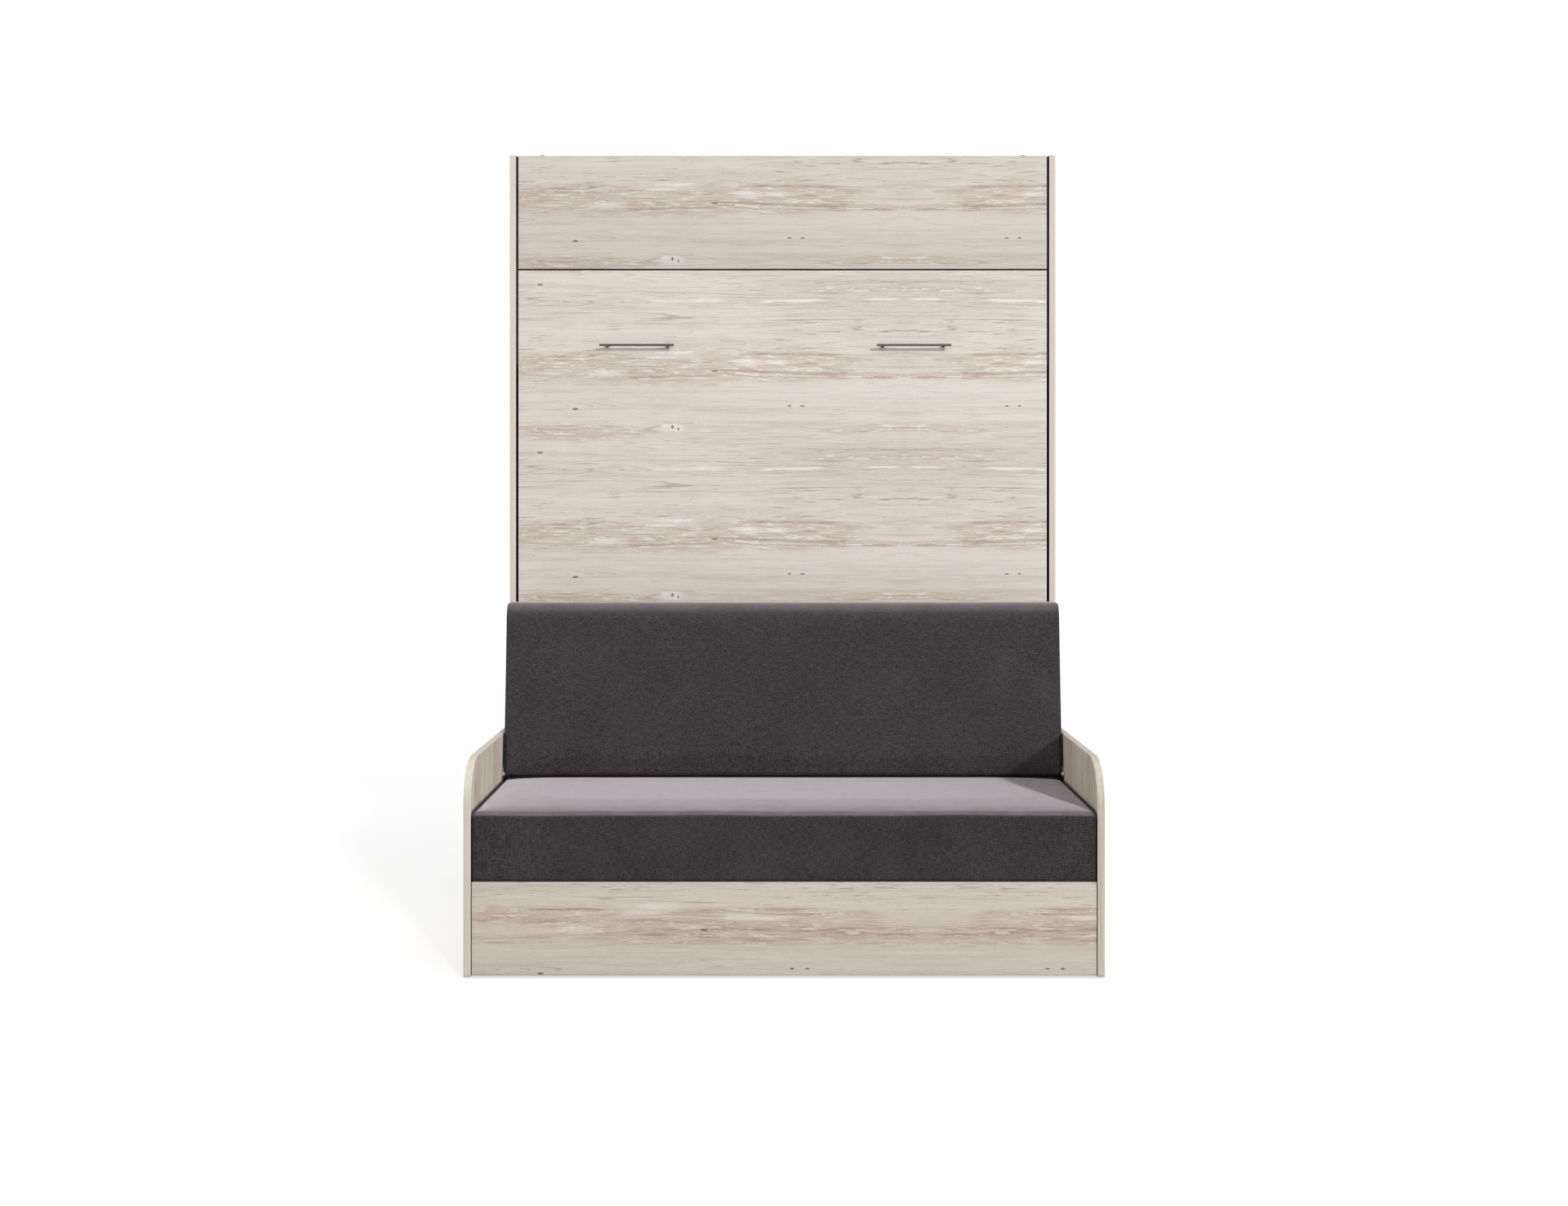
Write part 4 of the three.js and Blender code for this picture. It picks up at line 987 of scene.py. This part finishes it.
class WALLBED_OT_finishes(bpy.types.Operator):
    """Decor, timber, metal and plastic on every construction piece"""
    bl_idname = "wallbed.finishes"
    bl_label = "Finishes"

    def execute(self, context):
        decor = decor_group(context.scene.wallbed_boards)
        for name, (order, shift, tint, banding, nodes) in BOARD_GROUPS.items():
            finish_nodes(nodes, board_material(name, decor, order, shift, tint, banding))
        finish_nodes(["slat_roll", "backrest_board"], timber_material("cross_timber", FRONT))
        finish_nodes(["left_slat_ledge", "right_slat_ledge", "centre_rail"],
                     timber_material("long_timber", "ZXY"))
        finish_nodes(["back_panel"], grained_material(
            "white_hardboard", tone(227, 224, 217), tone(221, 217, 209), 0.75, 350, 0.0003))
        finish_nodes(both_sides("rear_glide", "arm_glide", "leg_pad", "pivot_bush"),
                     grained_material("moulded_plastic", tone(30, 30, 32), tone(20, 20, 22), 0.5,
                                      1400, 0.0002))
        finish_nodes(["leg_cross_tube", *both_sides("leg_bar", "strut_cylinder")],
                     grained_material("black_powder_coat", tone(44, 45, 48), tone(32, 33, 36), 0.5,
                                      1100, 0.0003))
        finish_nodes(both_sides("handle"),
                     metal_material("satin_steel", tone(104, 96, 90), 0.42, "X"))
        finish_nodes(both_sides(
            "pivot_plate", "strut_bracket", "backrest_pin", "backrest_plate", "bed_pivot_plate",
            "rod_stud", "leg_pin", "strut_rod"),
            metal_material("zinc_plate", tone(186, 189, 192), 0.38, "Z"))
        finish_nodes(["mattress_strap"], webbing_material())
        # Painted shade: the near-black of the strips put where only shade falls
        grained_material("black_felt", tone(24, 24, 26), tone(14, 14, 16), 0.97, 900, 0.0004)
        grained_material("mattress_tape", tone(182, 184, 188), tone(160, 163, 168), 0.9, 700,
                         0.0005)
        upholstery_material(context.scene.wallbed_cushions)
        ticking_material(context.scene.wallbed_mattress)
        return {"FINISHED"}


class WALLBED_OT_boards(bpy.types.Operator):
    """Boards with softly broken edges"""
    bl_idname = "wallbed.boards"
    bl_label = "Boards"

    def execute(self, context):
        arris = context.scene.wallbed_fittings.arris
        for slot, body, names in BOARDS:
            for name in names:
                centre, size = middle_of(name)
                size[0] -= 2 * SIDE_PLAY.get(name, 0.0)
                self.board(name, block(centre, size, arris, 2), body, slot)
        for name in both_sides("arm"):
            self.board(name, self.arm(name, arris), "base", "laminate")
        return {"FINISHED"}

    def board(self, name, shape, body, slot):
        finish = frame["nodes"][name].data.materials[0].name
        fitted(f"{name}_board", shape, finish, body, slot, name, degrees=20)

    def arm(self, name, arris, steps=40):
        """The arm's outline has one large quarter circle at its upper front corner."""
        low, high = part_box(name)
        radius = ARM_CORNER_RADIUS
        angle = np.linspace(math.pi / 2, math.pi, steps)
        corner = np.stack([low.y + radius + radius * np.cos(angle),
                           high.z - radius + radius * np.sin(angle)], 1)
        outline = [(low.y, low.z), (high.y, low.z), (high.y, high.z), *corner.tolist()]
        return plate(outline, low.x, high.x, arris)


class WALLBED_OT_screws(bpy.types.Operator):
    """Pan-head screws on the steel plates, caps over the boards' connectors, and nails behind"""
    bl_idname = "wallbed.screws"
    bl_label = "Screws, caps and nails"

    def execute(self, context):
        settings = context.scene.wallbed_fittings
        for label, side in SIDES.items():
            self.plate_screws(side, label, settings.screw)
            self.caps(side, label, settings.cover)
        self.back_nails(settings.nail)
        return {"FINISHED"}

    def plate_screws(self, side, label, radius):
        """Four screws near the corners of each plate, on the side that faces the bed."""
        for part, (body, facing, margin) in SCREWED_PLATES.items():
            name, outward = f"{label}_{part}", facing * side
            low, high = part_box(name)
            x = self.plate_face(name, outward)
            places = [(x, y, z) for y in (low.y + margin, high.y - margin)
                      for z in (low.z + margin, high.z - margin)]
            studs(f"{name}_screws", radius * np.array(SCREW_PROFILE), places, (outward, 0, 0), 24,
                  "zinc_plate", body, "steel")

    def plate_face(self, name, outward):
        """Where the flat of a plate lies: the largest share of its area faces that way there."""
        mesh = frame["nodes"][name].data
        faces = [(face.area, face.center.x) for face in mesh.polygons
                 if face.normal.x * outward > 0.99]
        return max(faces)[1]

    def cap(self, radius):
        """Profile of a low cap with a bevelled rim: pairs of height and radius."""
        rim, height, bevel = 0.0005, 0.0009, 0.0006
        return [(0.0, 0.0), (0.0, radius), (rim, radius), (height, radius - bevel), (height, 0.0)]

    def caps(self, side, label, radius):
        """Caps on the inner faces of the cabinet sides, where rails and top board are joined."""
        away, margin, front_margin, rear_margin = 0.03, 0.02, 0.06, 0.09
        low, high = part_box(f"{label}_side_panel")
        x = high.x if side < 0 else low.x
        places = []
        for name in ("rear_top_rail", "rear_bottom_rail"):
            low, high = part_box(name)
            places += [(x, low.y - away, z) for z in (low.z + margin, high.z - margin)]
        low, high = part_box("top_panel")
        places += [(x, y, low.z - away) for y in (low.y + front_margin, high.y - rear_margin)]
        studs(f"{label}_caps", self.cap(radius), places, (-side, 0, 0), 28, "white_hardboard",
              "base", "hardboard")

    def back_nails(self, radius, margin=0.012):
        """Small nails round the rim of the back panel, seen from behind."""
        low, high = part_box("back_panel")
        across = np.linspace(low.x + margin, high.x - margin, 11)
        tall = np.linspace(low.z + margin, high.z - margin, 13)
        rim = [(x, high.y, z) for x in across for z in tall[[0, -1]]]
        rim += [(x, high.y, z) for x in across[[0, -1]] for z in tall[1:-1]]
        studs("back_nails", self.cap(radius), rim, (0, 1, 0), 12, "zinc_plate", "base", "steel")


class WALLBED_OT_seat_cushion(bpy.types.Operator):
    """One-piece seat cushion between the arms"""
    bl_idname = "wallbed.seat_cushion"
    bl_label = "Seat cushion"

    def execute(self, context):
        settings = context.scene.wallbed_cushions
        crown = settings.seat_crown
        spread = np.array([SPREAD, 0, 0])
        centre, size = middle_of("seat_cushion")
        low, high = centre - size / 2, centre + size / 2
        points, quads = padded_form(size + 2 * spread, settings.seat_edge, 2, crown, DRAW_IN,
                                    settings.spacing, power=(8, 2, 2), low_norm=8.0)
        sole = low[2] - centre[2]
        rise = points[:, 2] - sole - crown - SOLE_HEIGHT
        stretch = np.where(rise < 0, crown / SOLE_HEIGHT, 0)
        points[:, 2] = np.maximum(points[:, 2] + rise * stretch, sole)
        points[:, 2] -= settings.sag * self.rim(points, size / 2)
        piece = cover("seat_cushion_cover", points + centre, quads, settings, low - spread,
                      high + spread)
        set_out(piece, "base", "upholstery", "seat_cushion")
        return {"FINISHED"}

    def rim(self, points, half):
        """Share of sag at the worn front rim: sines along x, fading as (y / half)^12 behind it."""
        waves = sum(height * np.sin(pace * points[:, 0] + start)
                    for pace, start, height in RIM_WAVES)
        share = 0.5 + waves / (2 * sum(height for _, _, height in RIM_WAVES))
        ahead = np.clip(-points[:, 1] / half[1], 0, 1) ** 12
        return share * ahead * np.clip(points[:, 2] / half[2], 0, 1)


class WALLBED_OT_back_cushion(bpy.types.Operator):
    """One-piece back cushion that leans on its board"""
    bl_idname = "wallbed.back_cushion"
    bl_label = "Back cushion"

    def execute(self, context):
        settings = context.scene.wallbed_cushions
        lean = self.lean()
        turn = np.array([[1, 0, 0], [0, math.cos(lean), math.sin(lean)],
                         [0, -math.sin(lean), math.cos(lean)]])
        upright = vertex_values(frame["nodes"]["back_cushion"].data) @ turn
        low = upright.min(0) - [SPREAD, 0, BACK_SINK]
        high = upright.max(0) + [SPREAD, 0, BACK_RISE]
        points, quads = padded_form(high - low, settings.edge, 1, settings.crown, DRAW_IN,
                                    settings.spacing, power=(8, 2, 6), low_norm=5.0)
        points += (low + high) / 2
        points[:, 1] += self.set_back(points, low, high, settings.top_edge)
        points[:, 2] += self.sole(points, low, math.tan(lean))
        piece = cover("back_cushion_cover", points, quads, settings, low, high, turn)
        set_out(piece, "backrest", "upholstery", "back_cushion")
        return {"FINISHED"}

    def set_back(self, points, low, high, radius):
        """How far the top front edge is set back: r - sqrt(r^2 - h^2), h within r of the top.

        A little less than h is taken, so that the curve doesn't end level.
        """
        rise = np.clip(points[:, 2] - high[2] + radius, 0, radius)
        ahead = np.clip((high[1] - points[:, 1]) / (high[1] - low[1]), 0, 1)
        return ahead * (radius - np.sqrt(radius ** 2 - TOP_EDGE_SHARE * rise ** 2))

    def sole(self, points, low, slope):
        """Lift that makes the lower face level at rest, fading out over the sole's height."""
        near = np.clip(1 - (points[:, 2] - low[2]) / SOLE_HEIGHT, 0, 1)
        return near * slope * (points[:, 1] - low[1])

    def lean(self):
        """How far the back leans: its joint folds it past a quarter turn by that much."""
        joint = next(j for j in frame["joints"] if j["name"] == "backrest_fold")
        return math.radians(joint["range_deg"][1] - 90)


class WALLBED_OT_mattress(bpy.types.Operator):
    """Quilted mattress with tape round both edges"""
    bl_idname = "wallbed.mattress"
    bl_label = "Mattress"

    def execute(self, context):
        settings = context.scene.wallbed_mattress
        centre, size = middle_of("mattress")
        half = size / 2
        points, quads = padded_form(size, settings.edge, 1, settings.crown, settings.draw_in,
                                    settings.spacing, power=(6, 2, 6))
        points[:, 1] -= self.stitching(points, half, settings)
        piece = mesh_object("mattress_cover", points + centre, [quads],
                            bpy.data.materials["quilted_ticking"])
        set_out(piece, "bed", "ticking", "mattress")
        for name, end in (("front_tape", -1), ("rear_tape", 1)):
            self.tape(name, end, centre, half, settings)
        self.slider()
        return {"FINISHED"}

    def stitching(self, points, half, settings):
        """Depth of the quilt: depth * (1 - sqrt(s / width)), with s from two crossing |sin|.

        It fades out within an edge's radius of the rim.
        """
        inner = np.clip((half - settings.edge - np.abs(points)) / settings.edge, 0, 1)
        flat = np.clip((half[1] - np.abs(points[:, 1])) / settings.edge, 0, 1)
        wide, tall = points[:, 0] / settings.quilt, points[:, 2] / settings.quilt
        lines = np.minimum(np.abs(np.sin(math.pi * (wide + tall))),
                           np.abs(np.sin(math.pi * (wide - tall))))
        sunk = settings.depth * (1 - np.sqrt(np.clip(lines / STITCH_WIDTH, 0, 1)))
        return np.sign(points[:, 1]) * sunk * inner[:, 0] * inner[:, 2] * (1 - flat)

    def tape(self, name, end, centre, half, settings):
        """A cord on the rounded edge, 45 degrees round it, along the whole outline."""
        radius = settings.edge
        reach = radius * math.sqrt(0.5)
        angle = np.linspace(0, math.pi / 2, 8)
        path = []
        for turn, (sx, sz) in enumerate(((1, 1), (-1, 1), (-1, -1), (1, -1))):
            middle = np.array([sx * (half[0] - radius), sz * (half[2] - radius)])
            bend = angle + turn * math.pi / 2
            corner = middle + reach * np.stack([np.cos(bend), np.sin(bend)], 1)
            path += [*corner, *self.along(corner[-1], turn, half - radius)]
        path = np.array(path)
        share = path / half[[0, 2]]
        path -= settings.draw_in * share * np.clip(1 - share[:, ::-1] ** 2, 0, None)
        y = np.full(len(path), end * (half[1] - settings.crown - radius + reach))
        points = np.stack([path[:, 0], y, path[:, 1]], 1) + centre
        section = rounded_section(*TAPE_SECTION, 4)
        fitted(name, swept(points, section, (0, 1, 0), True), "mattress_tape", "bed", "ticking",
               degrees=180)

    def along(self, start, turn, inner):
        """Places on the straight side that follows a corner, so that it can be drawn in."""
        side = turn % 2
        steps = np.linspace(0, 2 * inner[2 * side], 24)[1:-1]
        move = np.zeros((len(steps), 2))
        move[:, side] = steps * (-1 if turn in (0, 1) else 1)
        return start + move

    def slider(self):
        """A plain slider on the strap: a rounded frame with a bar across it."""
        low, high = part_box("mattress_strap")
        half_wide, margin, corner, proud, share = 0.022, 0.005, 0.006, 0.0008, 0.7
        half_high = (high.z - low.z) / 2 + margin
        middle = np.array([low.x + share * (high.x - low.x), high.y + proud, (low.z + high.z) / 2])
        ring = rounded_section(half_wide, half_high, corner)
        path = np.stack([ring[:, 0], np.zeros(len(ring)), ring[:, 1]], 1) + middle
        bar = np.array([[0, 0, -half_high], [0, 0, 0], [0, 0, half_high]]) + middle
        section = rounded_section(*SLIDER_SECTION, 4)
        shape = merged([swept(path, section, (0, 1, 0), True), swept(bar, section, (0, 1, 0))])
        fitted("strap_slider", shape, "moulded_plastic", "bed", "black_plastic")


class WALLBED_OT_shade_strips(bpy.types.Operator):
    """Black strips of painted shade under the sofa back and in the gaps where the front passes the
    cabinet sides
    """
    # Painted shade: black strips where only shade falls, under the sofa back and in the gaps beside
    # the front
    bl_idname = "wallbed.felt"
    bl_label = "Felt"

    def execute(self, context):
        self.seat_strip(context.scene.wallbed_cushions.seat_crown)
        for label, side in SIDES.items():
            self.tape(side, label)
        return {"FINISHED"}

    def dark_strip(self, name, low, high, radius):
        low, high = np.array(low), np.array(high)
        fitted(name, block((low + high) / 2, high - low, radius), "black_felt", "base",
               "black_plastic", degrees=0)

    def seat_strip(self, crown):
        """A flat black strip let into the crown of the seat, under the back cushion only: painted
        shade in the gap below the back.
        """
        inset, front_margin, rear_margin, proud, radius = 0.004, 0.003, 0.03, 0.0006, 0.0005
        (low, high), (back_low, _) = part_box("seat_cushion"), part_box("back_cushion")
        self.dark_strip("seat_felt", (low.x + inset, back_low.y + front_margin, high.z - crown),
                  (high.x - inset, high.y - rear_margin, high.z + proud), radius)

    def tape(self, side, label):
        """A thin black strip on the inner face of a cabinet side, just behind its front edge:
        painted shade in the gap beside the front.
        """
        thickness, setback, end, top_margin, radius = 0.0004, 0.0008, 0.034, 0.001, 0.0001
        (low, high), (front_low, _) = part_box(f"{label}_side_panel"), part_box("bed_front_panel")
        inner = high.x if side < 0 else low.x
        across = sorted((inner, inner - side * thickness))
        self.dark_strip(f"{label}_felt_tape", (across[0], low.y + setback, front_low.z),
                  (across[1], low.y + end, high.z - top_margin), radius)


class WALLBED_OT_handles(bpy.types.Operator):
    """Slim bar handles on two round posts"""
    bl_idname = "wallbed.handles"
    bl_label = "Handles"

    def execute(self, context):
        for name in both_sides("handle"):
            self.handle(name, context.scene.wallbed_fittings)
        return {"FINISHED"}

    def handle(self, name, settings):
        """A rounded bar carried along x and two turned posts under it, each on a bevelled foot."""
        corner, foot_high, foot_top = 0.002, 0.0012, 0.002
        low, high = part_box(name)
        middle = (low.z + high.z) / 2
        bar_y = low.y + settings.bar_deep / 2
        section = rounded_section(settings.bar_deep / 2, settings.bar_high / 2, corner)
        ends = np.linspace(low.x, high.x, 12)
        path = np.stack([ends, np.full(12, bar_y), np.full(12, middle)], 1)
        post, foot, reach = settings.post, settings.post_foot, high.y - bar_y
        profile = [(0, 0), (0, foot), (foot_high, foot), (foot_top, post), (reach, post),
                   (reach, 0)]
        posts = [turned(profile, (x, high.y, middle), (0, -1, 0), settings.turns)
                 for x in (low.x + settings.post_inset, high.x - settings.post_inset)]
        label = name.split("_")[0]
        fitted(f"{label}_bar_handle", merged([swept(path, section, (0, 0, 1)), *posts]),
               "satin_steel", "bed", "steel", name)


class WALLBED_PT_panel(bpy.types.Panel):
    bl_idname = "WALLBED_PT_panel"
    bl_label = "Wall bed"
    bl_space_type = "VIEW_3D"
    bl_region_type = "UI"
    bl_category = "Wall bed"

    def draw(self, context):
        for operator in OPERATORS:
            self.layout.operator(operator.bl_idname)
        for name in SETTINGS:
            group = getattr(context.scene, name)
            box = self.layout.box()
            for key in group.bl_rna.properties.keys():
                if key not in ("rna_type", "name"):
                    box.prop(group, key)


SETTINGS = {
    "wallbed_stage": StageSettings,
    "wallbed_boards": BoardSettings,
    "wallbed_cushions": CushionSettings,
    "wallbed_mattress": MattressSettings,
    "wallbed_fittings": FittingSettings,
}
OPERATORS = [
    WALLBED_OT_stage,
    WALLBED_OT_finishes,
    WALLBED_OT_boards,
    WALLBED_OT_screws,
    WALLBED_OT_seat_cushion,
    WALLBED_OT_back_cushion,
    WALLBED_OT_mattress,
    WALLBED_OT_shade_strips,
    WALLBED_OT_handles,
]


def register():
    for group in SETTINGS.values():
        bpy.utils.register_class(group)
    for operator in OPERATORS:
        bpy.utils.register_class(operator)
    bpy.utils.register_class(WALLBED_PT_panel)
    for name, group in SETTINGS.items():
        setattr(bpy.types.Scene, name, bpy.props.PointerProperty(type=group))


def unregister():
    for name in SETTINGS:
        delattr(bpy.types.Scene, name)
    bpy.utils.unregister_class(WALLBED_PT_panel)
    for operator in reversed(OPERATORS):
        bpy.utils.unregister_class(operator)
    for group in reversed(SETTINGS.values()):
        bpy.utils.unregister_class(group)


def main():
    register()
    for operator in OPERATORS:
        group, name = operator.bl_idname.split(".")
        getattr(getattr(bpy.ops, group), name)()


if __name__ == "__main__":
    main()
